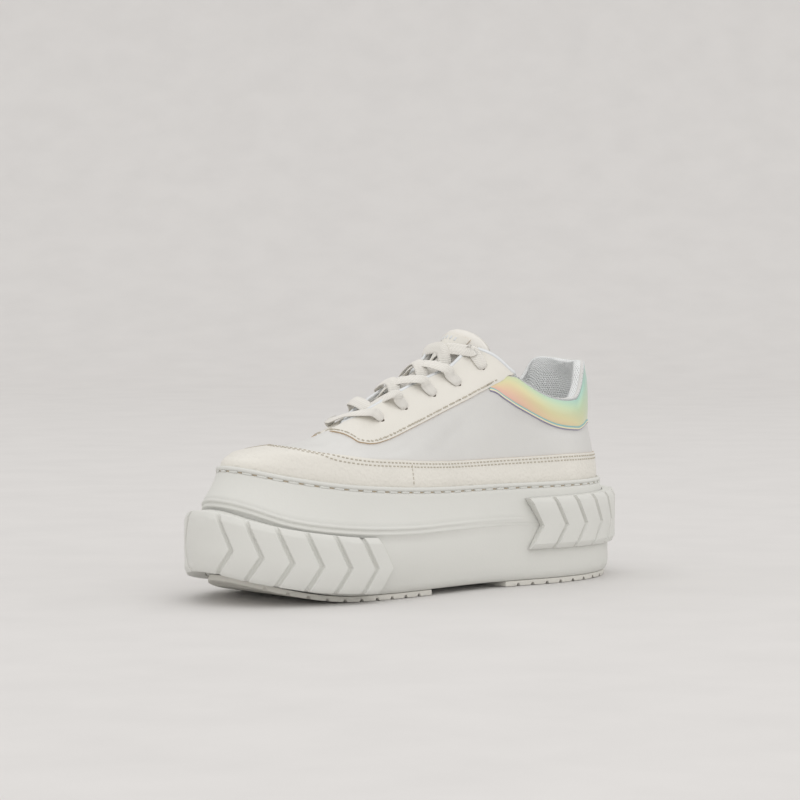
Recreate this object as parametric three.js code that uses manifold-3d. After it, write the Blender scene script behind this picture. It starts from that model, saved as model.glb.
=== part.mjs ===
// A left platform sneaker, standing empty on its sole. Millimetres, +Z up,
// +X towards the toe, +Y towards the outer side of the foot. The origin is
// the middle of the whole shoe's box, on the floor.
//
// Everything is drawn from the stitch line, the seam that runs round the top
// of the sole. "out" is a distance outwards from that line in plan, "at" a
// share of its length, 0 at the back of the heel and 1 at the tip of the toe.
import * as THREE from 'three';
import * as BufferGeometryUtils from 'three/addons/utils/BufferGeometryUtils.js';
import Module from 'manifold-3d';

// A short table: the names of its columns, then its rows.
function table(columns, rows) {
  return rows.map((row) => Object.fromEntries(columns.map((name, k) => [name, row[k]])));
}

// Driving dimensions.
const LENGTH = 268;             // stitch line, heel to tip
const TIP_SHIFT = -2.7;         // the tip lies to the inner side
const HEEL_ROUND = 0.30;        // share of the length taken by the round heel
const TOE_ROUND = 0.335;        // and by the round toe
const TOE_SPRING = 10.5;        // lift of the tread under the tip
const SPRING_START = 0.79;      // where that lift starts
const TREAD = 3.0;              // thickness of the tread pads
const GAP = 0.3;                // clearance between neighbouring pieces
const WALL = 2.0;               // upper, leather and lining together
const COLLAR_PAD = 3.2;         // what the padding adds at the collar
const INSOLE = 4.0;             // insole thickness
const SIDE_STEPS = 28;          // sections along each side

// Half widths of the stitch line, before its round ends are taken off.
const WIDTHS = [
  { at: 0.00, outer: 46.3, inner: 46.6 },
  { at: 0.13, outer: 46.3, inner: 46.6 },
  { at: 0.42, outer: 39.7, inner: 33.9 },
  { at: 0.67, outer: 45.0, inner: 44.6 },
  { at: 0.86, outer: 46.0, inner: 53.0 },
  { at: 1.00, outer: 45.0, inner: 49.0 },
];

// The sole's side wall, from its top edge down: lip above the stitches,
// flare down to the moulded ridge, belly, foot, and the tread's edge.
const WALL_SECTIONS = table(
  ['at', 'top', 'ridgeOut', 'ridge', 'bellyOut', 'footOut', 'treadOut', 'floor'], [
  [0.00, 56.5, 4.2, 36.0, 4.6, 4.8,  2.6, 47.5],
  [0.20, 57.3, 4.0, 36.5, 4.4, 4.6,  2.6, 47.0],
  [0.40, 58.0, 3.2, 38.2, 3.4, 3.0,  0.5, 46.0],
  [0.55, 58.6, 4.2, 38.4, 4.2, 2.6, -0.6, 45.0],
  [0.70, 60.6, 6.2, 38.8, 5.8, 2.6, -1.0, 45.0],
  [0.83, 63.8, 7.2, 41.0, 7.0, 4.0,  0.8, 47.5],
  [0.93, 68.5, 7.8, 46.0, 7.8, 6.0,  3.4, 51.0],
  [1.00, 73.5, 8.2, 55.5, 8.6, 8.0,  6.0, 55.0],
]);
const LIP = 1.9;                // width of the sole's top edge, to the cup
const STITCH_DROP = 2.8;        // stitch groove below the top edge
const STITCH_DEPTH = 0.8;
const RIDGE_STEP = 1.0;         // how far the ridge stands out of the wall
const FOOT_HEIGHT = 4.5;        // foot of the wall above the tread
const ARCH = { from: 103, to: 161 };  // between the two tread pads
const HEEL_TREAD_BACK = 4;
const LUG_PITCH = 10;           // grooves across the tread
const LUG_GROOVE = 1.3;
const LUG_DEPTH = 1.5;
const TREAD_TIP = 5;            // the tread runs this far past the stitch line

// The chevron bumpers: how far their face stands out, and its lower and
// upper edge.
const TOE_BUMPER = [
  { at: 0.72, bottom: 4.6, top: 34.2, face: 9.6 },
  { at: 0.80, bottom: 5.2, top: 35.4, face: 11.4 },
  { at: 0.88, bottom: 7.0, top: 38.4, face: 13.6 },
  { at: 0.94, bottom: 10.4, top: 42.0, face: 15.8 },
  { at: 0.98, bottom: 14.0, top: 46.6, face: 17.6 },
  { at: 1.00, bottom: 17.8, top: 50.6, face: 19.0 },
];
const HEEL_BUMPER = [
  { at: 0.00, bottom: 19.6, top: 49.4, face: 9.0 },
  { at: 0.40, bottom: 21.0, top: 49.2, face: 8.2 },
];
const CHEVRON_PITCH = 16.5;     // along the face, middle of groove to middle
const CHEVRON_POINT = 9;        // how far each chevron points to the heel
const CHEVRON_LEVEL = 0.45;     // height of the points, as a share
const CHEVRON_GROOVE = 3.2;     // groove width
const CHEVRON_DEPTH = 2.2;
const BUMPER_SEAT = 0.75;       // clearance to the wall behind, with its chords
const BUMPER_EDGE = 1.4;        // rounding of the upper and lower edge
const TOE_HALF_BLOCK = 11.5;    // half of the block across the tip
const TOE_BLOCKS = 6;           // chevrons down each side of the toe
const TOE_LAST_BLOCK = 11;      // length of the last of them
const HEEL_FRONT_X = 87.5;      // front end of the heel bumper

// Sections of the upper, a row for each, from the sole's edge to the collar
// or throat edge. "In" is measured from the stitch line towards that edge.
const UPPER_SECTIONS = table([
  'at', 'edgeX', 'edgeY', 'edge', 'bandIn', 'band', 'sideIn', 'side', 'ribIn', 'rib', 'turnIn', 'turn',
  'innerDrop',
], [
  [0.000,  11.0,    0, 123.4, 4.2, 71.0,  6.4,   84,  7.8,  101,  9.4,   115,    0],
  [0.055,  13.8, 11.5, 123.2, 4.2, 71.0,  6.4,   84,  7.8,  101,  9.4,   115, -1.0],
  [0.105,  22.0, 20.8, 121.0, 4.4, 71.2,  6.6,   84,  8.0,   99,  9.4,   112, -2.5],
  [0.138,  28.6, 25.0, 109.2, 4.7, 71.3,  6.8,   82,  8.2,   94,  9.4,   104, -4.0],
  [0.170,  36.4, 28.0, 103.0, 5.0, 71.5,  7.2,   81,  8.8,   90, 10.0,    97, -3.0],
  [0.245,  60.0, 30.0, 105.2, 5.5, 71.8,  8.0,   83,  9.6,   92, 10.8,    99, -1.0],
  [0.335,  87.0, 30.0, 118.2, 5.6, 71.8,  8.2,   88,  9.6,  103, 10.6,   111,    0],
  [0.365,  97.0, 24.4, 128.0, 5.6, 71.8,  8.0,   90,  9.8,  107, 12.4,   118,    0],
  [0.395, 106.0, 17.2, 131.6, 5.6, 71.8,  7.8,   91, 10.0,  109, 15.0,   120,    0],
  [0.460, 121.5, 14.2, 121.8, 5.5, 71.6,  7.8,   88, 11.0,  104, 17.6, 113.2,  1.5],
  [0.530, 140.5, 13.0, 115.4, 5.5, 71.6,  8.4,   85, 12.4,   98, 19.0, 107.1,  3.0],
  [0.600, 160.0, 12.4, 108.4, 5.8, 72.6,  9.6,   82, 14.4, 91.2, 21.6, 100.0,  4.5],
  [0.665, 174.5, 11.2, 102.2, 6.2, 74.0, 10.6, 79.6, 16.2, 85.8, 23.2,  93.6,  5.5],
  [0.740, 183.4,  8.2,  97.0, 6.6, 75.2, 11.5, 78.8, 18.6, 83.0, 27.0,  88.6,  5.5],
  [0.810, 186.4,  4.8,  95.0, 6.8, 76.6, 11.5, 79.0, 18.6, 81.2, 31.5,  85.8,  4.5],
  [0.900, 187.6,  2.2,  93.8, 7.4, 77.6, 13.6, 80.8, 24.0, 82.4, 43.0,  84.6,  2.4],
  [1.000, 188.0,    0,  93.4, 8.6, 77.2, 17.0, 80.6, 28.0, 82.6, 52.0,  84.2,    0],
]);
const UPPER_IN = 2.5;           // the upper's face where it leaves the sole
const UPPER_FOOT_IN = 3.3;      // and at its foot, down in the cup
const UPPER_STEPS = 12;         // rows from foot to edge

// The tongue: its crown line from under the vamp to the top, its half width,
// how steeply its sides fall away and how round the crown is.
const TONGUE_SECTIONS = table(['along', 'x', 'z', 'half', 'fall', 'round'], [
  [0.00, 198.0,  80.0, 15.0, 0.40,  4],
  [0.14, 185.0,  86.6, 17.0, 0.70,  4],
  [0.32, 166.0,  99.6, 18.5, 1.00,  4],
  [0.50, 146.0, 112.0, 19.0, 1.10,  4],
  [0.68, 126.4, 121.4, 19.0, 1.15,  4],
  [0.80, 117.2, 127.6, 17.6, 1.08,  5],
  [0.90, 111.6, 135.8, 18.0, 0.97,  5],
  [1.00, 103.0, 145.0, 26.0, 0.80, 10],
]);
const TONGUE_CORNER = 0.05;     // the top corners are rounded off by this share
const TONGUE_THICK = 5.0;

// Laces: a flat cord, a bar across the first eyelets and a crossing above
// each of the next.
const EYELET_ROWS = [
  { x: 178.2, y: 21.2 },
  { x: 160.6, y: 21.6 },
  { x: 141.2, y: 22.2 },
  { x: 122.8, y: 22.6 },
  { x: 105.4, y: 23.6 },
];
const LACE_WIDTH = 7.5;
const LACE_THICK = 1.5;
const LACE_CLEAR = 0.9;         // lace above the leather
const LACE_STEPS = 14;

const EDGE_REST = 14;           // where a lace passes over the throat's edge
const EDGE_LIFT = 3.0;          // and how far it stands clear of it
const CROWN_LIFT = 1.6;         // the same on the tongue's crown
const DIP_REST = 6.5;           // where it goes under on the far side
const DIP_LIFT = 2.6;
const LAYER_LIFT = 0.75;        // share of its thickness that the upper lace rises
const BAR_FORWARD = 3;          // the bar bows towards the toe

const COLOURS = {
  quarter: 0xe9e7e3,
  cream: 0xe8e4da,
  sole: 0xe4e3de,
  tread: 0xd9d3c6,
  lining: 0xdfe2e2,
  lace: 0xe6e0d3,
};

// A smooth value from a table: cubic pieces through the rows of a column.
function valueAt(table, column, at, key = 'at') {
  const last = table.length - 1;
  let row = 0;
  while (row < last - 1 && at > table[row + 1][key]) row += 1;
  const slope = (k) => {
    const a = table[Math.max(k - 1, 0)];
    const b = table[Math.min(k + 1, last)];
    return (b[column] - a[column]) / (b[key] - a[key]);
  };
  const from = table[row];
  const to = table[row + 1];
  const span = to[key] - from[key];
  const s = THREE.MathUtils.clamp((at - from[key]) / span, 0, 1);
  const rise = s * s * (3 - 2 * s);
  return from[column] * (1 - rise) + to[column] * rise
    + span * s * (1 - s) * ((1 - s) * slope(row) - s * slope(row + 1));
}

// The round ends: an ellipse takes the width down to nothing at heel and tip.
function endRound(at) {
  const heel = Math.max(1 - at / HEEL_ROUND, 0);
  const toe = Math.max((at - 1 + TOE_ROUND) / TOE_ROUND, 0);
  return Math.sqrt(Math.max(1 - heel ** 2, 0)) * (1 - toe ** 1.92) ** (1 / 1.92);
}

function centreY(at) {
  return TIP_SHIFT * Math.max((at - 0.55) / 0.45, 0) ** 2;
}

// A point of the stitch line, on the outer (side 1) or inner (side -1) half.
function stitchPoint(at, side) {
  const half = valueAt(WIDTHS, side > 0 ? 'outer' : 'inner', at) * endRound(at);
  return new THREE.Vector2(LENGTH * at, centreY(at) + side * half);
}

// The stitch line as a closed ring of stations: heel, outer side, tip, inner
// side. Each knows its place, outward direction and share of the side's path.
function stitchRing(steps) {
  const dense = 40;
  const stations = [];
  for (const side of [1, -1]) {
    const shares = [];
    let path = 0;
    let before = stitchPoint(0, side);
    for (let k = 0; k <= steps * dense; k += 1) {
      const at = (1 - Math.cos((Math.PI * k) / (steps * dense))) / 2;
      const here = stitchPoint(at, side);
      path += here.distanceTo(before);
      before = here;
      shares.push({ at, path, here });
    }
    for (let k = 0; k <= steps; k += 1) {
      const { at, path: walked, here } = shares[k * dense];
      const a = shares[Math.max(k * dense - 1, 0)].here;
      const b = shares[Math.min(k * dense + 1, steps * dense)].here;
      const normal = new THREE.Vector2(-(b.y - a.y), b.x - a.x).multiplyScalar(side).normalize();
      if (k === 0) normal.set(-1, 0);
      if (k === steps) normal.set(1, 0);
      stations.push({ at, side, share: walked / path, place: here, normal, length: path });
    }
  }
  const outer = stations.slice(0, steps + 1);
  const inner = stations.slice(steps + 2, 2 * steps + 1).reverse();
  return [...outer, ...inner];
}

const RING = stitchRing(SIDE_STEPS);
const FINE_RING = stitchRing(4 * SIDE_STEPS);

function outwards(station, out, z) {
  return new THREE.Vector3(
    station.place.x + station.normal.x * out,
    station.place.y + station.normal.y * out,
    z,
  );
}

// Triangles as a closed geometry whose faces point out.
function closedGeometry(points, triangles) {
  let volume = 0;
  for (const [a, b, c] of triangles) {
    volume += points[a].dot(new THREE.Vector3().crossVectors(points[b], points[c]));
  }
  const faces = volume < 0 ? triangles.map(([a, b, c]) => [a, c, b]) : triangles;
  const geometry = new THREE.BufferGeometry();
  geometry.setFromPoints(points);
  geometry.setIndex(faces.flat());
  return geometry;
}

function quad(a, b, c, d) {
  return [[a, b, c], [a, c, d]];
}

// A stack of closed rings joined by bands. The ends are closed across, from
// the outer side to the inner side, or joined to each other to make a shell.
function stackRings(rings, ends) {
  const count = rings[0].length;
  const points = rings.flat();
  const triangles = [];
  const bands = ends === 'joined' ? rings.length : rings.length - 1;
  for (let r = 0; r < bands; r += 1) {
    const low = r * count;
    const high = ((r + 1) % rings.length) * count;
    for (let k = 0; k < count; k += 1) {
      const next = (k + 1) % count;
      triangles.push(...quad(low + k, low + next, high + next, high + k));
    }
  }
  if (ends === 'joined') return closedGeometry(points, triangles);
  const half = count / 2;
  for (const [start, up] of [[0, false], [(rings.length - 1) * count, true]]) {
    for (let k = 0; k < half; k += 1) {
      const a = start + k;
      const b = start + k + 1;
      const c = start + ((count - k - 1) % count);
      const d = start + ((count - k) % count);
      const strip = k === 0 ? [[a, b, c]] : quad(a, b, c, d);
      const cap = k === half - 1 ? [[a, b, d]] : strip;
      triangles.push(...(up ? cap : cap.map(([p, q, r]) => [p, r, q])));
    }
  }
  return closedGeometry(points, triangles);
}

// Height of the tread's underside at an x.
function ground(x) {
  const lift = (x / LENGTH - SPRING_START) / (1 - SPRING_START);
  return TOE_SPRING * Math.max(lift, 0) ** 1.9;
}

// The wall's profile at a station, from the tread up to the lip.
function wallProfile(station) {
  const { at } = station;
  const value = (column) => valueAt(WALL_SECTIONS, column, at);
  const foot = value('footOut');
  const base = ground(station.place.x + station.normal.x * foot) + TREAD + GAP;
  const ridge = value('ridge');
  const ridgeOut = value('ridgeOut');
  const underRidge = ridge - 1.6;
  const profile = [
    { out: value('treadOut'), z: base },
    { out: (value('treadOut') + 2 * foot) / 3, z: base + 1.5 },
  ];
  const low = base + FOOT_HEIGHT;
  const bulge = value('bellyOut') - (foot + ridgeOut - RIDGE_STEP) / 2;
  for (const s of [0, 0.25, 0.5, 0.75, 1]) {
    profile.push({
      out: foot * (1 - s) + (ridgeOut - RIDGE_STEP) * s + 4 * bulge * s * (1 - s),
      z: low + s * (underRidge - low),
    });
  }
  const high = value('top') - STITCH_DROP - 1.6;
  profile.push(
    { out: ridgeOut, z: ridge },
    { out: 0.42 * ridgeOut, z: (ridge + high) / 2 },
    { out: 0.3, z: high },
    { out: -STITCH_DEPTH, z: high + 1.6 },
    { out: 0.4, z: high + STITCH_DROP + 0.2 },
    { out: -0.5, z: value('top') },
    { out: -LIP, z: value('top') },
  );
  return profile;
}

// How far the wall stands out at a height, for the bumpers to sit on.
function wallOut(station, z) {
  const profile = wallProfile(station);
  const next = THREE.MathUtils.clamp(profile.findIndex((knot) => knot.z >= z), 1, profile.length - 1);
  const a = profile[next - 1];
  const b = profile[next];
  return a.out + ((b.out - a.out) * (z - a.z)) / (b.z - a.z);
}

function midsole() {
  const profiles = RING.map(wallProfile);
  const rings = profiles[0].map((knot, row) => RING.map((station, k) => (
    outwards(station, profiles[k][row].out, profiles[k][row].z)
  )));
  rings.push(RING.map((station) => outwards(
    station,
    -UPPER_FOOT_IN + GAP,
    valueAt(WALL_SECTIONS, 'floor', station.at),
  )));
  return stackRings(rings, 'capped');
}

// The stations of a bumper's face, each with its distance along the face
// from the middle of the toe or heel; positive on the outer side.
function faceLine(table, from) {
  const line = [];
  for (const side of [-1, 1]) {
    const half = FINE_RING.filter((s) => s.side === side || s.share === 0 || s.share === 1)
      .sort((a, b) => (from === 'tip' ? b.share - a.share : a.share - b.share));
    let path = 0;
    let before = null;
    for (const station of half) {
      const here = outwards(station, valueAt(table, 'face', station.at), 0);
      if (before) path += here.distanceTo(before);
      before = here;
      if (path > 0 || side > 0) line.push({ ...station, path: side * path });
    }
  }
  return line.sort((a, b) => a.path - b.path);
}

function stationAlong(line, path) {
  const next = THREE.MathUtils.clamp(line.findIndex((s) => s.path >= path), 1, line.length - 1);
  const a = line[next - 1];
  const b = line[next];
  const s = (path - a.path) / (b.path - a.path);
  return {
    at: a.at + s * (b.at - a.at),
    place: a.place.clone().lerp(b.place, s),
    normal: a.normal.clone().lerp(b.normal, s).normalize(),
  };
}

// A moulded row of blocks that hugs the wall. Its cross sections lean into
// chevrons, and every groove is a pair of sections sunk into the row.
function bumper(table, line, columns) {
  const levels = [0, 0.1, CHEVRON_LEVEL, 0.58, 0.72, 0.9, 1];
  const rings = columns.map(({ along, lean, depth }) => {
    const inside = [];
    const outside = [];
    for (const level of levels) {
      const reach = level < CHEVRON_LEVEL ? level / CHEVRON_LEVEL : (1 - level) / (1 - CHEVRON_LEVEL);
      const station = stationAlong(line, along + CHEVRON_POINT * lean * reach);
      const low = valueAt(table, 'bottom', station.at);
      const z = low + level * (valueAt(table, 'top', station.at) - low);
      const edge = level === 0 || level === 1 ? BUMPER_EDGE : 0;
      inside.push(outwards(station, wallOut(station, z) + BUMPER_SEAT, z));
      outside.push(outwards(station, valueAt(table, 'face', station.at) - edge - depth, z));
    }
    return [...inside, ...outside.reverse()];
  });
  return lengthwise(rings);
}

// A row of equal sections joined lengthwise and closed at both ends. Each
// section lists one face and then the other in reverse.
function lengthwise(sections) {
  const count = sections[0].length;
  const points = sections.flat();
  const triangles = [];
  for (let r = 0; r < sections.length - 1; r += 1) {
    for (let k = 0; k < count; k += 1) {
      const low = r * count;
      const next = (k + 1) % count;
      triangles.push(...quad(low + k, low + next, low + count + next, low + count + k));
    }
  }
  for (const [start, turned] of [[0, true], [(sections.length - 1) * count, false]]) {
    for (let k = 0; k < count / 2 - 1; k += 1) {
      const cap = quad(start + k, start + k + 1, start + count - 2 - k, start + count - 1 - k);
      triangles.push(...(turned ? cap.map(([a, b, c]) => [a, c, b]) : cap));
    }
  }
  return closedGeometry(points, triangles);
}

// The four columns of one groove: brink, floor, floor, brink.
function groove(along, lean) {
  const half = CHEVRON_GROOVE / 2;
  return [
    { along: along - half, lean, depth: 0 },
    { along: along - half / 2, lean, depth: CHEVRON_DEPTH },
    { along: along + half / 2, lean, depth: CHEVRON_DEPTH },
    { along: along + half, lean, depth: 0 },
  ];
}

// The columns of a bumper that reaches the same distance down both sides.
function mirroredColumns(grooves, end, lean) {
  const half = [{ along: grooves[0] / 2, lean: lean / 2, depth: 0 }];
  grooves.forEach((place, k) => {
    half.push(...groove(place, lean));
    if (k < grooves.length - 1) half.push({ along: place + CHEVRON_PITCH / 2, lean, depth: 0 });
  });
  half.push({ along: end, lean, depth: 0.4 });
  const other = half.map(({ along, lean: way, depth }) => ({ along: -along, lean: -way, depth }));
  return [...other.reverse(), { along: 0, lean: 0, depth: 0 }, ...half];
}

function toeBumper() {
  const grooves = [];
  for (let k = 0; k < TOE_BLOCKS; k += 1) grooves.push(TOE_HALF_BLOCK + k * CHEVRON_PITCH);
  const end = grooves[TOE_BLOCKS - 1] + TOE_LAST_BLOCK;
  return bumper(TOE_BUMPER, faceLine(TOE_BUMPER, 'tip'), mirroredColumns(grooves, end, 1));
}

function heelBumper() {
  const line = faceLine(HEEL_BUMPER, 'heel');
  const end = line.find((station) => station.path > 0 && station.place.x >= HEEL_FRONT_X).path;
  const grooves = [];
  for (let place = end - CHEVRON_PITCH; place > CHEVRON_PITCH * 0.6; place -= CHEVRON_PITCH) {
    grooves.unshift(place);
  }
  return bumper(HEEL_BUMPER, line, mirroredColumns(grooves, end, -1));
}

// Half width limits of the tread at an x, on one side of the shoe.
function treadEdge(side, x) {
  const line = FINE_RING.filter((s) => s.side === side || s.share === 0 || s.share === 1)
    .map((s) => outwards(s, valueAt(WALL_SECTIONS, 'treadOut', s.at), 0))
    .sort((a, b) => a.x - b.x);
  const next = THREE.MathUtils.clamp(line.findIndex((p) => p.x >= x), 1, line.length - 1);
  const a = line[next - 1];
  const b = line[next];
  return a.y + ((b.y - a.y) * (x - a.x)) / (b.x - a.x);
}

// A tread pad between two places, with a groove across it at every pitch.
function treadPad(fromX, toX) {
  const rows = [{ x: fromX, rise: 0 }];
  for (let x = fromX + LUG_PITCH; x < toX - 4; x += LUG_PITCH) {
    rows.push({ x: x - LUG_GROOVE, rise: 0 });
    rows.push({ x: x - LUG_GROOVE / 2, rise: LUG_DEPTH });
    rows.push({ x: x + LUG_GROOVE / 2, rise: LUG_DEPTH });
    rows.push({ x: x + LUG_GROOVE, rise: 0 });
  }
  rows.push({ x: toX - 1.5, rise: 0 });
  rows.push({ x: toX, rise: 0 });
  const points = [];
  for (const { x, rise } of rows) {
    const low = ground(x);
    for (const [side, z] of [[1, rise], [1, TREAD], [-1, TREAD], [-1, rise]]) {
      points.push(new THREE.Vector3(x, treadEdge(side, x), low + z));
    }
  }
  const triangles = [];
  for (let r = 0; r < rows.length - 1; r += 1) {
    for (let k = 0; k < 4; k += 1) {
      const low = 4 * r + k;
      const next = 4 * r + ((k + 1) % 4);
      triangles.push(...quad(low, next, next + 4, low + 4));
    }
  }
  const last = points.length - 4;
  triangles.push(...quad(0, 3, 2, 1), ...quad(last, last + 1, last + 2, last + 3));
  return closedGeometry(points, triangles);
}

// One row of the upper's sections, on its outer or inner side.
function upperSection(share) {
  const row = {};
  for (const column of Object.keys(UPPER_SECTIONS[0])) {
    row[column] = column === 'at' ? share : valueAt(UPPER_SECTIONS, column, share);
  }
  return row;
}

// The upper's outer face. Station gives the way round, rise runs from 0 at
// the foot in the cup to 1 at the collar or throat edge.
function upperPoint(station, rise) {
  const row = upperSection(station.share);
  const edge = new THREE.Vector2(row.edgeX, centreY(station.at) * 0.4 + station.side * row.edgeY);
  const inward = edge.clone().sub(station.place);
  const span = inward.length();
  inward.divideScalar(span);
  const top = valueAt(WALL_SECTIONS, 'top', station.at);
  const knots = [
    { rise: 0, in: UPPER_FOOT_IN, z: valueAt(WALL_SECTIONS, 'floor', station.at) + GAP },
    { rise: 0.12, in: UPPER_IN, z: top - 0.5 },
    { rise: 0.30, in: row.bandIn, z: row.band },
    { rise: 0.47, in: row.sideIn, z: row.side },
    { rise: 0.63, in: row.ribIn, z: row.rib },
    { rise: 0.80, in: row.turnIn, z: row.turn },
    { rise: 1, in: span, z: row.edge },
  ];
  const inAt = valueAt(knots, 'in', rise, 'rise');
  const turn = THREE.MathUtils.smoothstep(rise, 0.05, 0.35);
  const drop = station.side < 0 ? row.innerDrop * THREE.MathUtils.smoothstep(rise, 0.12, 0.63) : 0;
  const way = station.normal.clone().negate().lerp(inward, turn).normalize();
  const place = station.place.clone().addScaledVector(way, inAt);
  return new THREE.Vector3(place.x, place.y, valueAt(knots, 'z', rise, 'rise') - drop);
}

// Outward direction of that face.
function upperNormal(rows, r, k) {
  const count = rows[0].length;
  const along = rows[r][(k + 1) % count].clone().sub(rows[r][(k + count - 1) % count]);
  const upTo = rows[Math.min(r + 1, rows.length - 1)][k];
  const up = upTo.clone().sub(rows[Math.max(r - 1, 0)][k]);
  return up.cross(along).normalize();
}

// Wall thickness: leather and lining, thicker where the collar is padded.
function wallThickness(station, rise) {
  const collar = THREE.MathUtils.smoothstep(0.36 - station.share, 0, 0.08);
  return WALL + COLLAR_PAD * collar * THREE.MathUtils.smoothstep(rise, 0.45, 0.85)
    * (1 - 0.45 * THREE.MathUtils.smoothstep(rise, 0.85, 1));
}

const UPPER_ROWS = [];
for (let r = 0; r <= UPPER_STEPS; r += 1) {
  UPPER_ROWS.push(RING.map((station) => upperPoint(station, r / UPPER_STEPS)));
}

function innerRow(r) {
  return RING.map((station, k) => {
    const thick = wallThickness(station, r / UPPER_STEPS);
    const point = UPPER_ROWS[r][k].clone().addScaledVector(upperNormal(UPPER_ROWS, r, k), -thick);
    if (r === 0) point.z = UPPER_ROWS[r][k].z;
    return point;
  });
}

function upper() {
  const inner = [];
  for (let r = UPPER_STEPS; r >= 0; r -= 1) inner.push(innerRow(r));
  return stackRings([...UPPER_ROWS, ...inner], 'joined');
}

// The insole lies on the cup's floor, inside the upper.
function insole() {
  const clear = UPPER_FOOT_IN + WALL + 2 * GAP;
  const rim = (out, rise) => RING.map((station) => outwards(
    station,
    -clear - out,
    valueAt(WALL_SECTIONS, 'floor', station.at) + GAP + rise,
  ));
  return stackRings([rim(0.6, 0), rim(0.2, INSOLE * 0.7), rim(1.2, INSOLE), rim(9, INSOLE - 1)], 'capped');
}

// A point of the tongue: along its crown line, across it, and below its face.
function tonguePoint(along, across, depth) {
  const value = (column, s = along) => valueAt(TONGUE_SECTIONS, column, s, 'along');
  const step = 0.01;
  const slope = new THREE.Vector2(
    value('x', along + step) - value('x', along - step),
    value('z', along + step) - value('z', along - step),
  ).normalize();
  const y = across * value('half');
  const round = value('round');
  const drop = Math.sqrt((y * value('fall')) ** 2 + round ** 2) - round + depth;
  return new THREE.Vector3(value('x') - slope.y * drop, y, value('z') + slope.x * drop);
}

function tongue() {
  const acrossSteps = 14;
  const alongSteps = 18;
  const rings = [];
  for (let r = 0; r <= alongSteps; r += 1) {
    const face = [];
    const back = [];
    for (let k = 0; k <= acrossSteps; k += 1) {
      const across = (2 * k) / acrossSteps - 1;
      const along = (r / alongSteps) * (1 - TONGUE_CORNER * Math.abs(across) ** 3);
      const thin = 0.5 + 0.5 * Math.sqrt(1 - across ** 2);
      face.push(tonguePoint(along, across, 0));
      back.push(tonguePoint(along, across, TONGUE_THICK * thin));
    }
    rings.push([...face, ...back.reverse()]);
  }
  return lengthwise(rings);
}

// The tongue's face at a place in plan, and the direction out of it.
function tongueFace(x, y) {
  let low = 0;
  let high = 1;
  for (let k = 0; k < 30; k += 1) {
    const along = (low + high) / 2;
    const half = valueAt(TONGUE_SECTIONS, 'half', along, 'along');
    if (tonguePoint(along, y / half, 0).x > x) low = along;
    else high = along;
  }
  const along = (low + high) / 2;
  const across = y / valueAt(TONGUE_SECTIONS, 'half', along, 'along');
  const point = tonguePoint(along, across, 0);
  const ahead = tonguePoint(along + 0.01, across, 0).sub(point);
  const beside = tonguePoint(along, across + 0.02, 0).sub(point);
  return { point, normal: beside.cross(ahead).normalize() };
}

// The upper's face nearest to a place in plan on its upper half, and the
// direction out of it.
function upperFace(x, y) {
  const side = Math.sign(y);
  let best = { miss: Infinity };
  for (const station of FINE_RING) {
    if (station.side !== side || station.share < 0.3 || station.share > 0.9) continue;
    for (let rise = 0.6; rise <= 1.0001; rise += 0.01) {
      const point = upperPoint(station, rise);
      const miss = Math.hypot(point.x - x, point.y - y);
      if (miss < best.miss) best = { miss, point, station, rise };
    }
  }
  const { point, station, rise } = best;
  const up = upperPoint(station, Math.min(rise + 0.02, 1)).sub(upperPoint(station, rise - 0.02));
  const ahead = FINE_RING[FINE_RING.indexOf(station) + 1];
  const along = upperPoint(ahead, rise).sub(point);
  const normal = up.cross(along).normalize();
  if (normal.z < 0) normal.negate();
  return { point, normal };
}

// A flat lace through a few resting points, each with the way it faces.
function flatLace(rests) {
  const path = new THREE.CatmullRomCurve3(rests.map((rest) => rest.point), false, 'centripetal');
  const points = [];
  for (let k = 0; k <= LACE_STEPS; k += 1) {
    const s = k / LACE_STEPS;
    const middle = path.getPoint(s);
    const along = path.getTangent(s);
    const place = s * (rests.length - 1);
    const from = Math.min(Math.floor(place), rests.length - 2);
    const facing = rests[from].normal.clone().lerp(rests[from + 1].normal, place - from);
    const across = facing.cross(along).normalize();
    const up = along.clone().cross(across).normalize();
    for (const [w, h] of [[-1, -1], [1, -1], [1, 1], [-1, 1]]) {
      points.push(middle.clone().addScaledVector(across, (w * LACE_WIDTH) / 2)
        .addScaledVector(up, (h * LACE_THICK) / 2));
    }
  }
  const triangles = [];
  for (let k = 0; k < LACE_STEPS; k += 1) {
    for (let c = 0; c < 4; c += 1) {
      const low = 4 * k + c;
      const next = 4 * k + ((c + 1) % 4);
      triangles.push(...quad(low, next, next + 4, low + 4));
    }
  }
  const last = points.length - 4;
  triangles.push(...quad(0, 3, 2, 1), ...quad(last, last + 1, last + 2, last + 3));
  return closedGeometry(points, triangles);
}

const UP = new THREE.Vector3(0, 0, 1);

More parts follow.
